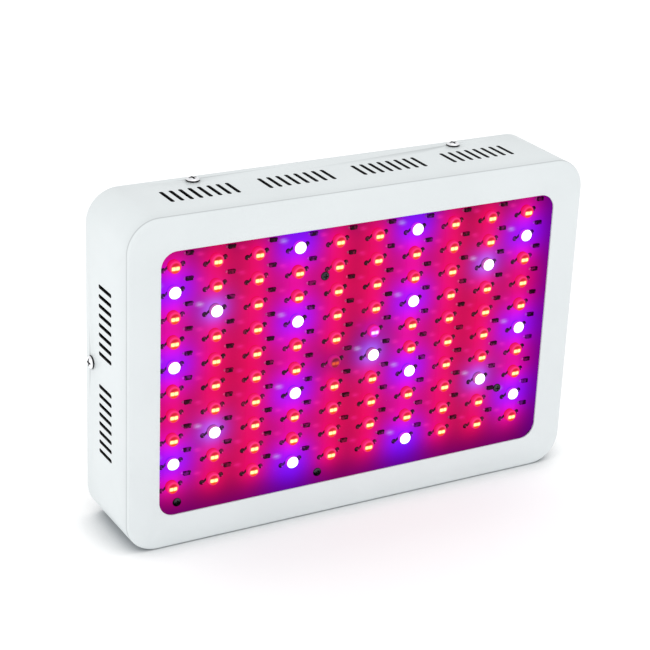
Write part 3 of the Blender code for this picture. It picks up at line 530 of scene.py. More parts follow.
def glow_at(points):
    """The light on the board at (x, z) points, as one linear colour each."""
    light = np.tile(AMBIENT, (len(points), 1))
    from_edge = np.minimum(board_high.x - np.abs(points[:, 0]), HEIGHT / 2 - np.abs(points[:, 1] - MID_Z))
    light += np.outer(np.exp(-np.maximum(from_edge, 0) / EDGE_REACH), EDGE_LIGHT)
    for x, z, kind in LEDS:
        across, up = points[:, 0] - x, points[:, 1] - z
        squared = across**2 + up**2
        colour, reach = THROW[kind]
        light += np.outer(1 / (1 + squared / reach**2) ** 2, colour)
        light += np.outer(np.exp(-squared / HALO_REACH**2), HALO[kind])
        # painted reflection of the LED on the shiny mask: a soft, tilted spot beside it
        spot_x, spot_z = across - SPOT_OFFSET.x, up - SPOT_OFFSET.y
        along = spot_x * math.cos(SPOT_TILT) + spot_z * math.sin(SPOT_TILT)
        over = -spot_x * math.sin(SPOT_TILT) + spot_z * math.cos(SPOT_TILT)
        reflection = np.exp(-((along / SPOT_SIZE[0]) ** 2) - (over / SPOT_SIZE[1]) ** 2)
        light += np.outer(reflection, REFLECTED_SPOT[kind])
    return 1 - np.exp(-light)


def paint_glow(mesh):
    """Stores the light that falls on each point of the mesh."""
    places = np.zeros(len(mesh.vertices) * 3)
    mesh.vertices.foreach_get("co", places)
    places = places.reshape(-1, 3)[:, [0, 2]]
    colours = np.ones((len(places), 4))
    colours[:, :3] = glow_at(places)
    layer = mesh.color_attributes.new("glow", "FLOAT_COLOR", "POINT")
    layer.data.foreach_set("color", colours.ravel())


def lit_mask(name, share):
    """White solder mask in the light of the LEDs, which shows their colours and little of its own."""
    n = Nodes(name)
    grain = n.noise(1500.0, 2.0)
    glow = n.attribute("glow")
    cloud = n.remap(n.noise(55.0, 3.0), 0.3, 0.7, 0.93, 1.0)
    toned = n.node("VectorMath", i0=glow, i1=(share, share, share))
    toned.operation = "MULTIPLY"
    n.set(Base_Color=(0.004, 0.003, 0.005, 1.0), Roughness=n.remap(grain, 0.2, 0.8, 0.30, 0.42))
    n.set(Normal=n.bump(grain, 0.00002, 0.3), Specular_IOR_Level=0.02)
    return n.lit(n.scaled(toned.outputs[0], cloud))


# For the kinds whose chips show: colours of the rim, lens, lower part, upper crescent of painted shade, and
# chips.
CHIP_COLOURS = {
    RED: ((1, 0.025, 0.22), (0.95, 0.015, 0.05), (0.90, 0.06, 0.004), (0.50, 0.0, 0.01), (1.9, 1.7, 0.60)),
    INFRARED: ((0.60, 0.0, 0.16), (0.30, 0.0, 0.05), (0.32, 0.0, 0.02), (0.1, 0, 0.01), (0.85, 0.1, 0.02)),
    VIOLET: ((0.85, 0.0, 0.55), (0.80, 0.02, 0.75), (0.55, 0.02, 0.85), (0.85, 0.0, 0.20), (1.6, 1.1, 1.7)),
}


def lens_material(name, kind):
    """A domed lens over two chips. The attribute lens holds the place on it, in millimetres."""
    n = Nodes(name)
    place = n.axes(n.attribute("lens", "Vector"))
    across, up = n.math("ADD", place[0], 0.1), n.math("ADD", place[1], 0.5)
    radius = n.length(place[0], place[1])
    if kind in CHIP_COLOURS:
        rim_colour, lens_colour, low_colour, crescent_shade_colour, chip_colour = CHIP_COLOURS[kind]
        bar_x = n.remap(n.size(n.math("SUBTRACT", n.size(across), 1.2)), 0.55, 1.70, 1.0, 0.0)
        bar_z = n.remap(n.size(up), 0.30, 1.60, 1.0, 0.0)
        core = n.remap(n.length(across, n.math("ADD", up, 1.2)), 1.3, 2.9, 1.0, 0.0)
        # painted shade: a dark crescent across the upper part of the lens
        crescent_axis = n.math("SUBTRACT", n.times(up, 0.9), n.times(across, 0.25))
        crescent_shade = n.times(n.remap(crescent_axis, 1.2, 1.9), n.remap(radius, 3.1, 2.3))
        colour = n.mix(n.remap(radius, 2.4, 3.5), lens_colour, rim_colour)
        colour = n.mix(core, colour, low_colour)
        colour = n.mix(n.times(crescent_shade, 0.7), colour, crescent_shade_colour)
        colour = n.mix(n.times(bar_x, bar_z), colour, chip_colour)
    else:
        edge = (0.45, 0.95, 1.2) if kind == BLUE else (0.95, 1.0, 1.05)
        low_edge = n.times(n.remap(up, -1.6, -3.2), n.remap(radius, 2.4, 3.6))
        colour = n.mix(low_edge, (2.0, 2.1, 2.4), edge)
    n.set(Base_Color=(0.02, 0.012, 0.016, 1.0), Roughness=0.12, Specular_IOR_Level=0.06)
    return n.lit(colour)


def collar_material(name, rim, foot):
    """The plastic collar of an LED in its own light: one colour at its rim, another at its foot."""
    n = Nodes(name)
    height = n.axes(n.attribute("lens", "Vector"))[2]
    share = n.remap(n.math("ADD", height, n.times(n.noise(600.0), 0.3)), 0.4, 3.6)
    n.set(Base_Color=(0.02, 0.012, 0.016, 1.0), Roughness=0.35, Specular_IOR_Level=0.05)
    return n.lit(n.mix(share, foot, rim))


def tinted_dark(name, colour, low, high, roughness, specular):
    """A dark part on the board, which takes a little of the light round it, in blotches."""
    n = Nodes(name)
    share = n.remap(n.noise(420.0, 1.0), 0.42, 0.66, low, high)
    grain = n.noise(2500.0, 2.0)
    n.set(Base_Color=n.mix(grain, tuple(0.6 * part for part in colour), colour), Roughness=roughness)
    n.set(Normal=n.bump(grain, 0.00003, 0.4), Specular_IOR_Level=specular)
    return n.lit(n.scaled(n.attribute("glow"), share))


BOARD_MASK, TRACK_MASK = lit_mask("lit_solder_mask", 1.0), lit_mask("lit_track_mask", 1.03)
KIND_NAMES = ("red", "blue", "white", "infrared", "violet")
LENSES = [lens_material(f"{name}_lens", kind) for kind, name in enumerate(KIND_NAMES)]
COLLARS = [
    collar_material("red_collar", (0.92, 0.004, 0.16), (0.72, 0.0, 0.06)),
    collar_material("blue_collar", (0.62, 0.02, 0.85), (0.22, 0.0, 0.9)),
    collar_material("white_collar", (0.60, 0.12, 0.48), (0.20, 0.02, 0.30)),
    collar_material("infrared_collar", (0.62, 0.0, 0.22), (0.40, 0.0, 0.14)),
    collar_material("violet_collar", (0.80, 0.0, 0.25), (0.45, 0.0, 0.20)),
]
DIODE = tinted_dark("diode_body", (0.012, 0.001, 0.004), 0.02, 0.30, 0.5, 0.08)
# solder shown dark, taking a little of the LED light round it
SOLDER = tinted_dark("dark_solder", (0.012, 0.001, 0.005), 0.02, 0.22, 0.25, 0.16)
# a bright surface: the painted highlight dot on each solder joint, and the left end of each diode
LEAD_AND_HIGHLIGHT = tinted_dark("tinned_lead_and_painted_highlight", (0.10, 0.03, 0.08), 0.35, 0.90, 0.25, 0.4)


# ---- Sheet-metal case ----------------------------------------------------------------------


def sheet_tray(low, high, corner, plate_at_front, inner_shade_index):
    """A plate with four folded sides as one sheet of steel, open on the side away from the plate."""
    bm = round_box(low, high, corner, segments=18)
    outwards = -1 if plate_at_front else 1
    plate = [face for face in bm.faces if face.normal.y * outwards > 0.9]
    opening = [face for face in bm.faces if face.normal.y * outwards < -0.9]
    bmesh.ops.delete(bm, geom=opening, context="FACES_ONLY")
    bevel(bm, list(plate[0].edges), FOLD, 5)
    mesh = finished(bm, "tray")
    mesh.materials.append(COAT)
    mesh.materials.append(INNER_SHADE)
    return thickened(mesh, SHEET, inner=inner_shade_index)


def slot_cutter(bm, centre, through):
    """A round-ended slot along Y, through a wall that faces along axis 0 or 2."""
    sides = 20
    slot = bmesh.new()
    turn = Matrix.Rotation(math.pi / sides, 4, "Z")
    radius = SLOT_WIDTH / 2
    radii = {"radius1": radius, "radius2": radius}
    bmesh.ops.create_cone(slot, cap_ends=True, segments=sides, depth=6 * SHEET, matrix=turn, **radii)
    for vert in slot.verts:
        vert.co.y += math.copysign((SLOT_LENGTH - SLOT_WIDTH) / 2, vert.co.y)
    matrix = Matrix.Translation(centre)
    if through == 0:
        matrix = matrix @ Matrix.Rotation(math.pi / 2, 4, "Y")
    add_shape(bm, slot, matrix)


def slot_offsets(groups):
    for group in groups:
        for number in range(SLOTS_IN_GROUP):
            yield group + (number - (SLOTS_IN_GROUP - 1) / 2) * SLOT_PITCH


def case_screw_seats():
    """(point on the outer wall, outward direction) of the four case screws above the base."""
    x, y = middle_of("case_screw_2").x, middle_of("case_screw_1").y
    return (
        (Vector((-x, y, case_high.z)), Vector((0, 0, 1))),
        (Vector((x, y, case_high.z)), Vector((0, 0, 1))),
        (Vector((case_low.x, y, MID_Z)), Vector((-1, 0, 0))),
        (Vector((case_high.x, y, MID_Z)), Vector((1, 0, 0))),
    )


def base_screw_seats():
    return [middle_of(f"case_screw_{number}") for number in (5, 6)]


def shade_slot_walls(mesh):
    """Gives the walls of the slots the painted inner shade."""
    span = SLOT_LENGTH / 2 + EASE
    for face in mesh.polygons:
        x, z = abs(face.center.x), abs(face.center.z - MID_Z)
        if abs(face.center.y - SLOT_Y) > span:
            continue
        long_side = x < 0.39 * WIDTH and abs(face.normal.z) < 0.7
        short_side = z < 0.28 * HEIGHT and abs(face.normal.x) < 0.7
        if long_side or short_side:
            face.material_index = 1


def make_front_housing():
    mesh = sheet_tray(case_low, case_high, CORNER, True, inner_shade_index=1)
    window = round_box(
        (-WINDOW_WIDTH / 2, FRONT - SHEET, MID_Z - WINDOW_HEIGHT / 2),
        (WINDOW_WIDTH / 2, FRONT + 2 * SHEET, MID_Z + WINDOW_HEIGHT / 2),
        WINDOW_CORNER,
        segments=14,
    )
    slots, holes = bmesh.new(), bmesh.new()
    for x in slot_offsets(LONG_SIDE_GROUPS):
        for wall in (case_low.z, case_high.z):
            slot_cutter(slots, (x, SLOT_Y, wall), through=2)
    for z in slot_offsets(SHORT_SIDE_GROUPS):
        for wall in (case_low.x, case_high.x):
            slot_cutter(slots, (wall, SLOT_Y, MID_Z + z), through=0)
    for seat, out in case_screw_seats():
        rod(holes, seat + out * SHEET, seat - out * 1.5 * SHEET, 2.1 * MM, 24)
    for seat in base_screw_seats():
        rod(holes, (seat.x, seat.y, -2 * SHEET), (seat.x, seat.y, 2 * SHEET), 5.85 * MM, 40, 1.85 * MM)
    mesh = boolean(eased(boolean(mesh, "DIFFERENCE", window, holes)), "DIFFERENCE", slots)
    shade_slot_walls(mesh)
    bm = bmesh.new()
    bm.from_mesh(mesh)
    stud_radius, stud_length = 2.8 * MM, BOARD_FACE - 0.25 * MM - FRONT - SHEET / 2
    for place in hole_places("heat_sink_screw", 4):
        post = lathe([(stud_radius, stud_length), (stud_radius, 0.0)], 24)
        turn = Matrix.Rotation(-math.pi / 2, 4, "X")
        # the studs take the painted inner shade as well
        add_shape(bm, post, Matrix.Translation((place.x, FRONT + SHEET / 2, place.z)) @ turn, material=1)
    mesh = finished(bm, "front_shell")
    piece("front_shell", mesh, (COAT, INNER_SHADE), "panel", ["front_housing"])


# ---- LED board -----------------------------------------------------------------------------

BOARD_GRID = 1.25 * MM


def make_board():
    """The board: its front is a fine grid, so that it can hold the light of the LEDs."""
    width, height = board_high.x - board_low.x, board_high.z - board_low.z
    bm = bmesh.new()
    turn = Matrix.Translation((0, BOARD_FACE, MID_Z)) @ Matrix.Rotation(math.pi / 2, 4, "X")
    turn = turn @ Matrix.Diagonal((width, height, 1, 1))
    steps = {"x_segments": round(width / BOARD_GRID), "y_segments": round(height / BOARD_GRID)}
    bmesh.ops.create_grid(bm, size=0.5, matrix=turn, **steps)
    rim = [edge for edge in bm.edges if edge.is_boundary]
    extruded = bmesh.ops.extrude_edge_only(bm, edges=rim)["geom"]
    back_edges = [part for part in extruded if isinstance(part, bmesh.types.BMEdge)]
    back = [part for part in extruded if isinstance(part, bmesh.types.BMVert)]
    bmesh.ops.translate(bm, vec=(0, board_high.y - BOARD_FACE, 0), verts=back)
    bmesh.ops.contextual_create(bm, geom=back_edges)
    bmesh.ops.recalc_face_normals(bm, faces=bm.faces)
    holes = bmesh.new()
    before, behind = BOARD_FACE - SHEET, board_high.y + SHEET
    for place in (*hole_places("board_screw", 4), *hole_places("heat_sink_screw", 4)):
        rod(holes, (place.x, before, place.z), (place.x, behind, place.z), 1.7 * MM, 20)
    x, z = SPARE_HOLE
    rod(holes, (x, before, z), (x, behind, z), 1.8 * MM, 20)
    mesh = boolean(finished(bm, "board_plate"), "DIFFERENCE", holes)
    paint_glow(mesh)
    board = piece("board_plate", mesh, (BOARD_MASK,), "panel", ["led_board"], angle=30)
    board.visible_diffuse = False


# ---- LED strings ---------------------------------------------------------------------------

COLLAR_RADIUS, COLLAR_HEIGHT = 4.0 * MM, 3.7 * MM
DOME_RADIUS = 3.75 * MM
TRACK_HALF = 4.6 * MM
DIODE_OFFSET = Vector((10.0 * MM, 6.7 * MM))
DIODE_SIZE = Vector((4.4 * MM, 1.9 * MM, 2.5 * MM))
TRACK, COLLAR_FIRST, LENS_FIRST, DIODE_SLOT, SOLDER_SLOT, LEAD_HIGHLIGHT_SLOT = 0, 1, 6, 11, 12, 13
LEAD_RISES = ((-1, -2.3 * MM), (1, 0.4 * MM))


def dome_profile(height, steps=7):
    """(radius, height) points from the top of a dome down to its foot."""
    for step in range(steps + 1):
        angle = math.pi / 2 * step / steps
        yield DOME_RADIUS * math.sin(angle), COLLAR_HEIGHT + height * math.cos(angle)


def emitter_meshes():
    """The collar and the lens of one LED about Z, which points out of the board."""
    r, h = COLLAR_RADIUS, COLLAR_HEIGHT
    collar = [(DOME_RADIUS * 0.9, h), (r - 0.35 * MM, h), (r, h - 0.35 * MM), (r, 0.0)]
    dome = dome_profile((BOARD_FACE - LED_TOP) - COLLAR_HEIGHT)
    return finished(lathe(collar, 28), "collar"), finished(lathe(dome, 28), "dome")


def lead_mesh(side):
    """A flat lead that leaves the collar and bends down into its solder joint, about Z."""
    rise = dict(LEAD_RISES)[side]
    bm = bmesh.new()
    line = ((3.7, 1.0, 0.0), (5.0, 0.95, 0.5), (5.8, 0.6, 1.0), (6.2, 0.1, 1.0))  # out, up, share of the rise
    rows = []
    for x, z, share in line:
        y = rise * share
        rows.append([bm.verts.new((side * (x * MM), y + half * 0.9 * MM, z * MM)) for half in (-1, 1)])
    for lower, upper in zip(rows, rows[1:]):
        bm.faces.new((lower[0], lower[1], upper[1], upper[0]))
    bmesh.ops.recalc_face_normals(bm, faces=bm.faces)
    return thickened(finished(bm, "lead"), 0.35 * MM, offset=0.0)


def solder_mesh(radius, height):
    profile = [(radius * math.sin(a), height * math.cos(a)) for a in (0.0, 0.45, 0.9, 1.3, math.pi / 2)]
    return finished(lathe(profile, 12), "solder")


def store_lens_places(verts, layer, centre):
    """Stores where each point is on its LED, in millimetres: across, up and out of the board."""
    for vert in verts:
        across, up = vert.co.x - centre[0], vert.co.z - centre[1]
        vert[layer] = (across / MM, up / MM, (BOARD_FACE - vert.co.y) / MM)


def make_string(number):
    """Half of the LEDs with their leads, joints and diodes, on the tracks that feed them."""
    columns = range(number * COLUMNS // 2, (number + 1) * COLUMNS // 2)
    name = f"led_string_{number + 1}"
    track_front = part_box(name)[1].y - 0.18 * MM
    top_z, base_z = led_place(0, 0)[1] + TRACK_HALF, led_place(0, ROWS - 1)[1] - TRACK_HALF
    turn = Matrix.Rotation(math.pi / 2, 4, "X")
    bm = bmesh.new()
    for column in columns:
        x = led_place(column, 0)[0]
        track = bmesh.new()
        place = Matrix.Translation((x, track_front, (top_z + base_z) / 2)) @ turn
        place = place @ Matrix.Diagonal((2 * TRACK_HALF, top_z - base_z, 1, 1))
        bmesh.ops.create_grid(track, x_segments=8, y_segments=120, size=0.5, matrix=place)
        add_shape(bm, track, material=TRACK)
    lens = bm.verts.layers.float_vector.new("lens")
    collar, dome = emitter_meshes()
    leads = {side: lead_mesh(side) for side in (-1, 1)}
    joint, tip, cap = (
        solder_mesh(radius * MM, height * MM) for radius, height in ((1.7, 1.0), (0.55, 0.75), (1.0, 0.55))
    )
    # each solder joint gets a small bright dot at its lower right: a painted highlight
    highlight_offset = Matrix.Translation((0.5 * MM, -0.55 * MM, -0.45 * MM))
    diode_mesh = eased(finished(round_box(-DIODE_SIZE / 2, DIODE_SIZE / 2, 0.2 * MM, 1), "diode"), 0.25 * MM)
    for column in columns:
        for row in range(ROWS):
            x, z = led_place(column, row)
            kind = led_kind(column, row)
            seat = Matrix.Translation((x, BOARD_FACE - 0.02 * MM, z)) @ turn
            store_lens_places(add_shape(bm, collar, seat, COLLAR_FIRST + kind), lens, (x, z))
            store_lens_places(add_shape(bm, dome, seat, LENS_FIRST + kind), lens, (x, z))
            for side, rise in LEAD_RISES:
                add_shape(bm, leads[side], seat, SOLDER_SLOT)
                foot = Matrix.Translation((x + side * 6.3 * MM, BOARD_FACE, z + rise)) @ turn
                add_shape(bm, joint, foot, SOLDER_SLOT)
                add_shape(bm, tip, highlight_offset @ foot, LEAD_HIGHLIGHT_SLOT)
        for row in range(ROWS):
            x, z = led_place(column, row)
            diode_y = BOARD_FACE - DIODE_SIZE.y / 2 - 0.1 * MM
            middle = Vector((x + DIODE_OFFSET.x, diode_y, z + DIODE_OFFSET.y))
            add_shape(bm, diode_mesh, Matrix.Translation(middle), DIODE_SLOT)
            for side in (-1, 1):
                end = middle + Vector((side * (DIODE_SIZE.x / 2 + 0.3 * MM), DIODE_SIZE.y / 2, 0))
                add_shape(bm, cap, Matrix.Translation(end) @ turn, SOLDER_SLOT if side > 0 else LEAD_HIGHLIGHT_SLOT)
    mesh = finished(bm, f"leds_{number + 1}")
    paint_glow(mesh)
    materials = (TRACK_MASK, *COLLARS, *LENSES, DIODE, SOLDER, LEAD_AND_HIGHLIGHT)
    leds = piece(f"leds_{number + 1}", mesh, materials, "panel", [name], angle=50)
    leds.visible_diffuse = False


# ---- Screws --------------------------------------------------------------------------------


def pan_screw(radius, height, shank, length):
    """A pan head on its shank, about Z. The underside of the head is at Z 0."""
    profile = [(0.0, height), (0.35 * radius, height)]
    for step in range(1, 7):
        angle = math.pi / 12 * step
        profile.append((radius * (0.35 + 0.65 * math.sin(angle)), height * (0.25 + 0.75 * math.cos(angle))))
    profile += [(radius, 0.1 * height), (0.97 * radius, 0.0), (shank, 0.0), (shank, -length), (0.0, -length)]
    return finished(lathe(profile, 36), "pan_screw")


def sunk_screw(radius, cone, shank, length):
    """A countersunk screw about Z. The top of its head is at Z 0."""
    profile = [(0.0, 0.0), (0.97 * radius, 0.0), (radius, -0.05 * cone), (shank, -cone)]
    profile += [(shank, -length), (0.0, -length)]
    return finished(lathe(profile, 36), "sunk_screw")


def with_recess(mesh, radius, top, depth):
    """The screw with a cross recess, whose faces take the second material."""
    reach, thin = 0.80 * radius, 0.15 * radius
    for turn in (0.0, math.pi / 2):
        blade = bmesh.new()
        for vert in block(blade, (-reach, -thin, top - depth), (reach, thin, top + depth)):
            if vert.co.z < top:
                vert.co.x *= 0.55
        bmesh.ops.rotate(blade, matrix=Matrix.Rotation(turn, 3, "Z"), verts=blade.verts)
        mesh = boolean(mesh, "DIFFERENCE", blade)
    for face in mesh.polygons:
        x, y = abs(face.center.x), abs(face.center.y)
        inside = min(x, y) < 1.05 * thin and max(x, y) < reach and face.center.z > top - 1.2 * depth
        if inside and (face.normal.z < 0.6 or face.center.z < top - 0.6 * depth):
            face.material_index = 1
        elif face.normal.z < 0.3 and face.center.z < 0.4 * top:
            face.material_index = 1  # the shaded foot of the head, and the shank
    return mesh


def place_screw(name, mesh, seat, out, materials):
    matrix = Matrix.Translation(seat) @ Vector(out).to_track_quat("Z", "Y").to_matrix().to_4x4()
    piece(f"{name}_fine", placed(mesh, matrix), materials, "panel", [name], angle=35)


def make_screws():
    bright, black = (BRIGHT_SCREW, RECESS), (BLACK_OXIDE, RECESS)
    case = with_recess(pan_screw(4.2 * MM, 1.9 * MM, 1.6 * MM, 8 * MM), 4.2 * MM, 1.9 * MM, 1.3 * MM)
    for number, (seat, out) in enumerate(case_screw_seats(), 1):
        place_screw(f"case_screw_{number}", case, seat + 0.25 * MM * out, out, bright)
    base = with_recess(sunk_screw(3.6 * MM, 2.0 * MM, 1.6 * MM, 8 * MM), 3.6 * MM, 0.0, 1.2 * MM)
    for number, seat in enumerate(base_screw_seats(), 5):
        low = Vector((seat.x, seat.y, 0.1 * MM))
        place_screw(f"case_screw_{number}", base, low, (0, 0, -1), bright)
    fan = with_recess(pan_screw(3.6 * MM, 1.9 * MM, 1.7 * MM, 12 * MM), 3.6 * MM, 1.9 * MM, 1.3 * MM)
    for number in range(1, 9):
        low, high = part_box(f"fan_screw_{number}")
        seat = Vector(((low.x + high.x) / 2, high.y - 1.9 * MM, (low.z + high.z) / 2))
        place_screw(f"fan_screw_{number}", fan, seat, (0, 1, 0), bright)
    board = with_recess(pan_screw(2.8 * MM, 1.6 * MM, 1.4 * MM, 4 * MM), 2.8 * MM, 1.6 * MM, 1.1 * MM)
    for number, place in enumerate(hole_places("board_screw", 4), 1):
        seat = Vector((place.x, BOARD_FACE - 0.25 * MM, place.z))
        place_screw(f"board_screw_{number}", board, seat, (0, -1, 0), black)


# ---- Rear cover and fans -------------------------------------------------------------------

FAN_BORE, FAN_HOLES = 43.5 * MM, 41.25 * MM
HUB_RADIUS, HUB_START, HUB_END = 17.5 * MM, 4.5 * MM, 21.5 * MM
BLADE_RADIUS, BLADES = 41.8 * MM, 7
MOTOR_PLATE = 3.0 * MM
GUARD_RINGS = (12.0 * MM, 22.5 * MM, 33.0 * MM, 43.5 * MM)
GUARD_WIRE, GUARD_LIFT = 0.8 * MM, -1.0 * MM
INLET_BODY, SWITCH_BODY = (27.2 * MM, 19.6 * MM), (13.4 * MM, 19.4 * MM)
TO_REAR = Matrix.Rotation(-math.pi / 2, 4, "X")  # turns +Z to +Y


def fan_seats():
    """(number, the point where the axis of the fan meets its inner face)."""
    for number in (1, 2):
        low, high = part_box(f"fan_frame_{number}")
        yield number, Vector(((low.x + high.x) / 2, low.y, MID_Z))


def square(half):
    return [(x, z) for x in (-half, half) for z in (-half, half)]


def make_rear_cover():
    mesh = sheet_tray(cover_low, cover_high, CORNER - 1.4 * MM, False, inner_shade_index=1)
    bores, holes, panels, sides, sinks = (bmesh.new() for _ in range(5))
    inside, outside = REAR - 2 * SHEET, REAR + SHEET
    for _, seat in fan_seats():
        rod(bores, (seat.x, inside, MID_Z), (seat.x, outside, MID_Z), FAN_BORE, 80)
        for x, z in square(FAN_HOLES):
            rod(holes, (seat.x + x, inside, MID_Z + z), (seat.x + x, outside, MID_Z + z), 2.1 * MM, 20)
    for name, (width, height) in (("power_inlet", INLET_BODY), ("switch_housing", SWITCH_BODY)):
        z, half_x, half_z = middle_of(name).z, width / 2 + 0.25 * MM, height / 2 + 0.25 * MM
        block(panels, (-half_x, inside, z - half_z), (half_x, outside, z + half_z))
    for seat, out in case_screw_seats():
        rod(sides, seat - 1.2 * MM * out, seat - 3.2 * MM * out, 1.9 * MM, 20)
    for seat in base_screw_seats():
        rod(sinks, (seat.x, seat.y, 1.0 * MM), (seat.x, seat.y, 4.0 * MM), 3.2 * MM, 24, 1.9 * MM)
    mesh = eased(boolean(mesh, "DIFFERENCE", bores, holes, panels, sides, sinks))
    piece("rear_shell", mesh, (COAT, INNER_SHADE), "panel", ["rear_cover"])


def fan_frame_mesh(depth):
    """The frame about the fan's axis, Y, from its inner face at Y 0."""
    half = 46 * MM
    frame = finished(round_box((-half, 0, -half), (half, depth, half), 4 * MM, 8), "frame")
    bore, holes = bmesh.new(), bmesh.new()
    rod(bore, (0, -SHEET, 0), (0, depth + SHEET, 0), FAN_BORE, 80)
    for x, z in square(FAN_HOLES):
        rod(holes, (x, -SHEET, z), (x, depth + SHEET, z), 2.15 * MM, 20)
    bm = bmesh.new()
    bm.from_mesh(eased(boolean(frame, "DIFFERENCE", bore, holes), 0.4 * MM))
    reach = FAN_BORE + 0.6 * MM
    for half_x, half_z in ((reach, 2 * MM), (2 * MM, reach)):
        arm = bmesh.new()
        block(arm, (-half_x, 0.2 * MM, -half_z), (half_x, MOTOR_PLATE - 0.2 * MM, half_z))
        add_shape(bm, eased(finished(arm, "arm"), 0.4 * MM))
    profile = [(1.6, 13.0), (1.6, 12.0), (4.2, 12.0), (4.5, 11.6), (4.5, 3.0), (17.0, 3.0), (17.5, 2.5)]
    profile += [(17.5, 0.5), (17.0, 0.0), (11.0, 0.0), (10.6, 0.3), (10.0, 0.3), (9.6, 0.0), (0.0, 0.0)]
    add_shape(bm, lathe([(radius * MM, height * MM) for radius, height in profile], 48), TO_REAR)
    return finished(bm, "fan_frame")


def blade_mesh(number):
    """A twisted blade, steeper at its root than at its tip."""
    bm = bmesh.new()
    bmesh.ops.create_grid(bm, x_segments=14, y_segments=12, size=0.5)
    root = HUB_RADIUS - 1 * MM
    for vert in bm.verts:
        outwards, forwards = vert.co.x + 0.5, vert.co.y
        radius = root + (BLADE_RADIUS - root) * outwards
        pitch = math.radians(48 - 22 * outwards)
        chord = (17 + 7 * outwards) * MM
        sweep = 0.30 * outwards + forwards * chord * math.cos(pitch) / radius
        angle = 2 * math.pi * number / BLADES + sweep
        camber = (1 - 4 * forwards**2) * 0.9 * MM
        height = (HUB_START + HUB_END) / 2 + forwards * chord * math.sin(pitch) + camber * 0.6
        vert.co = (radius * math.cos(angle), height, radius * math.sin(angle))
    mesh = thickened(finished(bm, "blade"), 1.2 * MM, offset=0.0)
    fixed = bmesh.new()
    fixed.from_mesh(mesh)
    bmesh.ops.recalc_face_normals(fixed, faces=fixed.faces)
    return eased(finished(fixed, "blade"), 0.3 * MM)


def fan_rotor_mesh():
    """The rotor about the fan's axis, Y: a hub cup with its shaft, and seven blades."""
    profile = [(0.0, 21.2), (5.5, 21.2), (5.9, 21.5), (12.6, 21.5), (12.9, 21.15), (13.5, 21.15)]
    profile += [(13.8, 21.5), (16.3, 21.5), (16.9, 21.35), (17.3, 21.0), (17.5, 20.4), (17.5, 4.5)]
    profile += [(16.0, 4.5), (16.0, 20.0), (1.5, 20.0), (1.5, 4.0), (0.0, 4.0)]
    bm = bmesh.new()
    add_shape(bm, lathe([(radius * MM, height * MM) for radius, height in profile], 64), TO_REAR)
    for number in range(BLADES):
        add_shape(bm, blade_mesh(number))
    return finished(bm, "fan_rotor")


def fan_guard_mesh():
    """Wire rings on two crossed arms, which end in an eye at each screw, about the fan's axis."""
    bm = bmesh.new()
    for radius in GUARD_RINGS:
        add_shape(bm, tube(list(ring_points(radius, 72)), GUARD_WIRE, 12, closed=True))
    arm_end = FAN_HOLES * math.sqrt(2) - 2.7 * MM
    for turn in (math.pi / 4, 3 * math.pi / 4):
        way = Vector((math.cos(turn), 0, math.sin(turn)))
        ends = [Vector((0, GUARD_LIFT, 0)) + way * arm_end * step / 4 for step in range(-4, 5)]
        add_shape(bm, tube(ends, GUARD_WIRE, 12))
    for x, z in square(FAN_HOLES):
        eye = [point + Vector((x, 0, z)) for point in ring_points(3.2 * MM, 32, GUARD_LIFT)]
        add_shape(bm, tube(eye, GUARD_WIRE, 12, closed=True))
    return finished(bm, "fan_guard")


def make_fans():
    low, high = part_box("fan_frame_1")
    frame_mesh, rotor, guard = fan_frame_mesh(high.y - low.y), fan_rotor_mesh(), fan_guard_mesh()
    guard_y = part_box("fan_guard_1")[0].y - GUARD_LIFT + GUARD_WIRE
    for number, seat in fan_seats():
        guard_seat = Vector((seat.x, guard_y, MID_Z))
        for name, mesh, place, material, body, slot in (
            ("fan_frame", frame_mesh, seat, FAN_PLASTIC, "panel", "fan_plastic"),
            ("fan_rotor", rotor, seat, ROTOR_PLASTIC, f"fan_{number}", "fan_plastic"),
            ("fan_guard", guard, guard_seat, CHROME, "panel", "guard_wire"),
        ):
            copy = placed(mesh, Matrix.Translation(place))
            piece(f"{name}_{number}_fine", copy, (material,), body, [f"{name}_{number}"])


# ---- Mains inlet and switch ----------------------------------------------------------------


def panel_body(name, size, corner):
    """A flange on the outside of the cover with the body behind it."""
    low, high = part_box(name)
    middle = middle_of(name)
    flange = round_box((low.x, high.y - 1.8 * MM, low.z), (high.x, high.y, high.z), corner, 8)
    body = bmesh.new()
    half_x, half_z = size[0] / 2, size[1] / 2
    block(body, (-half_x, low.y, middle.z - half_z), (half_x, high.y - 0.9 * MM, middle.z + half_z))
    return boolean(finished(flange, name), "UNION", body)


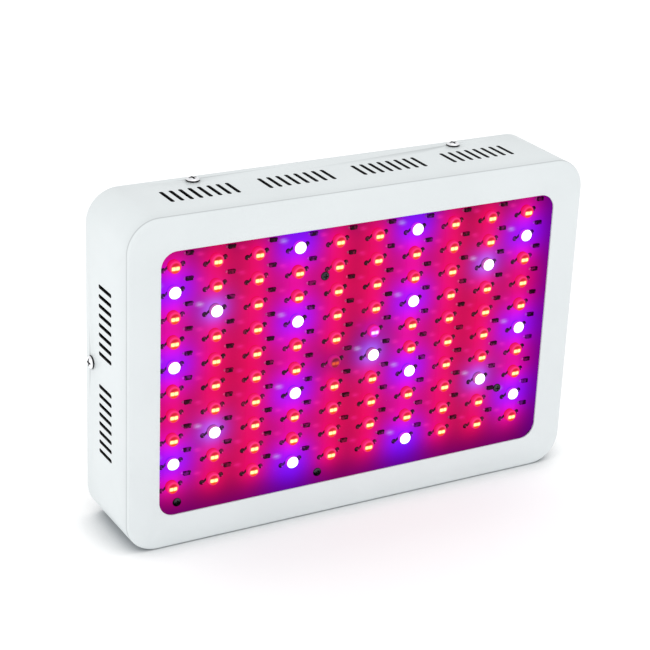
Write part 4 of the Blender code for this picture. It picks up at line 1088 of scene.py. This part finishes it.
def make_inlet():
    mesh = panel_body("power_inlet", INLET_BODY, 2 * MM)
    (low, high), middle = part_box("power_inlet"), middle_of("power_inlet")
    cavity, slots = bmesh.new(), bmesh.new()
    floor = low.y + 2.5 * MM
    block(cavity, (-12.1 * MM, floor, middle.z - 8.1 * MM), (12.1 * MM, high.y + SHEET, middle.z + 8.1 * MM))
    upper = [edge for edge in edges_along(cavity, 1) if edge.verts[0].co.z > middle.z]
    lower = [edge for edge in edges_along(cavity, 1) if edge.verts[0].co.z < middle.z]
    bevel(cavity, upper, 4 * MM, 1)
    bevel(cavity, [edge for edge in lower if edge.is_valid], 0.8 * MM, 4)
    for number in range(1, 4):
        name = f"inlet_pin_{number}"
        pin_low, pin_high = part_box(name)
        clear = Vector((0.25 * MM, 0, 0.25 * MM))
        block(slots, pin_low - clear, Vector((pin_high.x, floor + SHEET, pin_high.z)) + clear)
        pin = bmesh.new()
        for vert in block(pin, pin_low, pin_high):
            if vert.co.y > pin_high.y - MM:
                vert.co.x += math.copysign(0.35 * MM, middle_of(name).x - vert.co.x)
        bmesh.ops.subdivide_edges(pin, edges=edges_along(pin, 0) + edges_along(pin, 2), cuts=1)
        mesh_of_pin = eased(finished(pin, name), 0.3 * MM, angle=30)
        piece(f"{name}_fine", mesh_of_pin, (NICKEL,), "panel", [name])
    mesh = eased(boolean(mesh, "DIFFERENCE", cavity, slots), 0.3 * MM, angle=30)
    piece("power_inlet_fine", mesh, (INLET_PLASTIC,), "panel", ["power_inlet"])


def rocker_outline():
    """(y, z) points round the rocker, about its pivot."""
    half = 8 * MM
    shares = [1 - step / 8 for step in range(17)]
    face = [((2.4 + 1.7 * abs(share) ** 1.35) * MM, half * share) for share in shares]
    keel = 0.44 * half
    return face + [(-1.5 * MM, -half), (-4 * MM, -keel), (-4 * MM, keel), (-1.5 * MM, half)]


def make_switch():
    mesh = panel_body("switch_housing", SWITCH_BODY, 1.5 * MM)
    high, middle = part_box("switch_housing")[1], middle_of("switch_housing")
    well, bearing = bmesh.new(), bmesh.new()
    half_x, half_z = 5.4 * MM, 8.95 * MM
    block(well, (-half_x, high.y - 9.5 * MM, middle.z - half_z), (half_x, high.y + SHEET, middle.z + half_z))
    pivot = Vector((0, high.y - 1.5 * MM, middle.z))
    rod(bearing, pivot - Vector((6.1 * MM, 0, 0)), pivot + Vector((6.1 * MM, 0, 0)), 1.1 * MM, 24)
    mesh = eased(boolean(mesh, "DIFFERENCE", well, bearing), 0.25 * MM)
    piece("switch_housing_fine", mesh, (INLET_PLASTIC,), "panel", ["switch_housing"])
    rocker = bmesh.new()
    sides = [[rocker.verts.new((x, y, z)) for y, z in rocker_outline()] for x in (-5.1 * MM, 5.1 * MM)]
    rocker.faces.new(sides[0])
    rocker.faces.new(sides[1][::-1])
    for number in range(len(sides[0])):
        after = (number + 1) % len(sides[0])
        rocker.faces.new((sides[0][number], sides[0][after], sides[1][after], sides[1][number]))
    bmesh.ops.recalc_face_normals(rocker, faces=rocker.faces)
    body = bmesh.new()
    body.from_mesh(eased(finished(rocker, "rocker"), 0.35 * MM, segments=3))
    trunnions = bmesh.new()
    rod(trunnions, (-5.9 * MM, 0, 0), (5.9 * MM, 0, 0), 1.0 * MM, 24)
    add_shape(body, trunnions)
    mesh = finished(body, "rocker")
    mesh.transform(Matrix.Translation(pivot) @ Matrix.Rotation(math.radians(10), 4, "X"))
    names = ["switch_rocker"]
    piece("switch_rocker_fine", mesh, (ROCKER_PLASTIC,), "rocker", names, angle=30)


# ---- Hangers -------------------------------------------------------------------------------


def ring_mesh():
    """A D-shaped wire ring about its straight bar, which is the X axis. It hangs down."""
    half, corner = 12 * MM, 4 * MM
    points = [Vector((x * MM, 0, 0)) for x in (-8, -4, 0, 4, 8)]
    for step in range(1, 8):
        angle = math.pi / 2 * (1 - step / 8)
        points.append(Vector((half - corner + corner * math.cos(angle), 0, corner * (math.sin(angle) - 1))))
    for step in range(33):
        angle = math.pi * step / 32
        points.append(Vector((half * math.cos(angle), 0, -8 * MM - 12 * MM * math.sin(angle))))
    for step in range(1, 8):
        angle = math.pi / 2 * (1 + (8 - step) / 8)
        points.append(Vector((corner - half + corner * math.cos(angle), 0, corner * (math.sin(angle) - 1))))
    return finished(tube(points, 1.5 * MM, 18, closed=True), "ring")


def strap_mesh():
    """A strip bent over the ring's bar, with a riveted foot above and below it, about the bar's axis."""
    outer, foot_y, foot = 3.0 * MM, -1.75 * MM, 8 * MM
    turns = [math.pi * step / 18 for step in range(19)]
    bend = [(outer * math.sin(angle), -outer * math.cos(angle)) for angle in turns]
    line = [(foot_y, -foot - outer), (foot_y, -outer), *bend, (foot_y, outer), (foot_y, foot + outer)]
    bm = bmesh.new()
    rows = [[bm.verts.new((x, y, z)) for x in (-6 * MM, 6 * MM)] for y, z in line]
    for lower, upper in zip(rows, rows[1:]):
        bm.faces.new((lower[0], lower[1], upper[1], upper[0]))
    bmesh.ops.recalc_face_normals(bm, faces=bm.faces)
    bm.faces.ensure_lookup_table()
    bm.normal_update()
    offset = -1.0 if bm.faces[0].normal.y > 0 else 1.0
    strip = bmesh.new()
    strip.from_mesh(eased(thickened(finished(bm, "strap"), 1.2 * MM, offset=offset), 0.25 * MM, angle=60))
    angles = (0.0, 0.35, 0.7, 1.05, 1.35, 1.57)
    rivet = [(2.3 * MM * math.sin(angle), 1.1 * MM * math.cos(angle)) for angle in angles]
    rivet += [(2.0 * MM, -0.3 * MM), (0.0, -0.3 * MM)]
    for z in (-outer - foot / 2, outer + foot / 2):
        add_shape(strip, lathe(rivet, 28), Matrix.Translation((0, foot_y, z)) @ TO_REAR)
    return finished(strip, "strap")


def make_hangers():
    ring, strap = ring_mesh(), strap_mesh()
    for number in range(1, 5):
        axis = middle_of(f"hanger_strap_{number}")
        axis.y = REAR + 3.2 * MM
        for name, mesh, material, body, slot in (
            ("hanger_ring", ring, CHROME, f"ring_{number}", "guard_wire"),
            ("hanger_strap", strap, ZINC, "panel", "zinc"),
        ):
            copy = placed(mesh, Matrix.Translation(axis))
            piece(f"{name}_{number}_fine", copy, (material,), body, [f"{name}_{number}"], angle=50)


make_front_housing()
make_board()
for string_number in range(2):
    make_string(string_number)
make_screws()
make_rear_cover()
make_fans()
make_inlet()
make_switch()
make_hangers()


# ---- Carried-over CAD pieces ---------------------------------------------------------------

FINISHES = {
    "heat_sink": ALUMINIUM,
    "heat_sink_screw": ZINC,
    "led_driver": DRIVER_PLASTIC,
    "mains_lead": BLACK_WIRE,
    "driver_lead": BLACK_WIRE,
    "fan_lead": BLACK_WIRE,
    "black_led_lead": BLACK_WIRE,
    "red_led_lead": RED_WIRE,
}

for node_name, node in frame["nodes"].items():
    family = node_name.rstrip("0123456789").rstrip("_")
    finish = FINISHES.get(family)
    if finish is not None:
        for slot in node.material_slots:
            slot.material = finish


# ---- Floor, light and camera ---------------------------------------------------------------


def make_floor():
    bm = bmesh.new()
    bmesh.ops.create_grid(bm, x_segments=2, y_segments=2, size=4.0)
    floor = new_object("floor", finished(bm, "floor"))
    floor.location.z = -0.05 * MM
    n = Nodes("pale_floor_painted_contact_shadow")
    # painted contact shadow: the floor's colour and glow darken where ambient occlusion finds the object
    # close by
    shade = n.node("AmbientOcclusion", Distance=0.030)
    shade.samples = 8
    unshadowed_share = n.remap(shade.outputs["AO"], 0.05, 0.97)
    pale = n.mix(n.noise(3.0), (0.960, 0.960, 0.960), (0.975, 0.975, 0.975))
    n.set(Base_Color=n.mix(unshadowed_share, (0.42, 0.44, 0.46), pale), Roughness=0.8, Specular_IOR_Level=0.0)
    n.set(Emission_Color=(1.0, 1.0, 1.0, 1.0), Emission_Strength=n.times(unshadowed_share, 0.14))
    n.material.cycles.emission_sampling = "NONE"
    floor.data.materials.append(n.material)


def make_sun(name, place, strength, angle):
    """A broad, even light from the direction of place."""
    light = bpy.data.lights.new(name, "SUN")
    light.energy = strength
    light.angle = math.radians(angle)
    lamp = new_object(name, light)
    lamp.location = place
    lamp.rotation_euler = (-Vector(place)).to_track_quat("-Z", "Y").to_euler()


def make_world():
    world = bpy.data.worlds.new("studio")
    world.use_nodes = True
    background = world.node_tree.nodes["Background"]
    background.inputs["Color"].default_value = (1.0, 1.0, 1.0, 1.0)
    background.inputs["Strength"].default_value = 0.92
    bpy.context.scene.world = world


CAMERA_TARGET = Vector((-0.0266, FRONT, 0.1273))
CAMERA_DISTANCE = 1.1756
CAMERA_TURN, CAMERA_PITCH, CAMERA_ROLL = math.radians(29.916), math.radians(22.893), math.radians(2.473)
CAMERA_FIELD = math.radians(18.76)


def make_camera():
    data = bpy.data.cameras.new("camera")
    data.angle = CAMERA_FIELD
    camera = new_object("camera", data)
    turn = Matrix.Rotation(-CAMERA_TURN, 4, "Z") @ Matrix.Rotation(math.pi / 2 - CAMERA_PITCH, 4, "X")
    turn = turn @ Matrix.Rotation(CAMERA_ROLL, 4, "Z")
    forward = turn @ Vector((0, 0, -1))
    camera.matrix_world = Matrix.Translation(CAMERA_TARGET - forward * CAMERA_DISTANCE) @ turn
    bpy.context.scene.camera = camera


make_floor()
make_world()
make_sun("left_softbox", (-1.6, -0.3, 0.5), 0.30, 60)
make_sun("low_left_fill", (-1.6, -0.1, 0.08), 0.26, 30)
make_sun("high_softbox", (0.2, -0.5, 1.8), 0.30, 70)
make_sun("front_softbox", (0.3, -1.6, 0.5), 0.22, 70)
make_camera()
bpy.context.scene.view_settings.view_transform = "Standard"
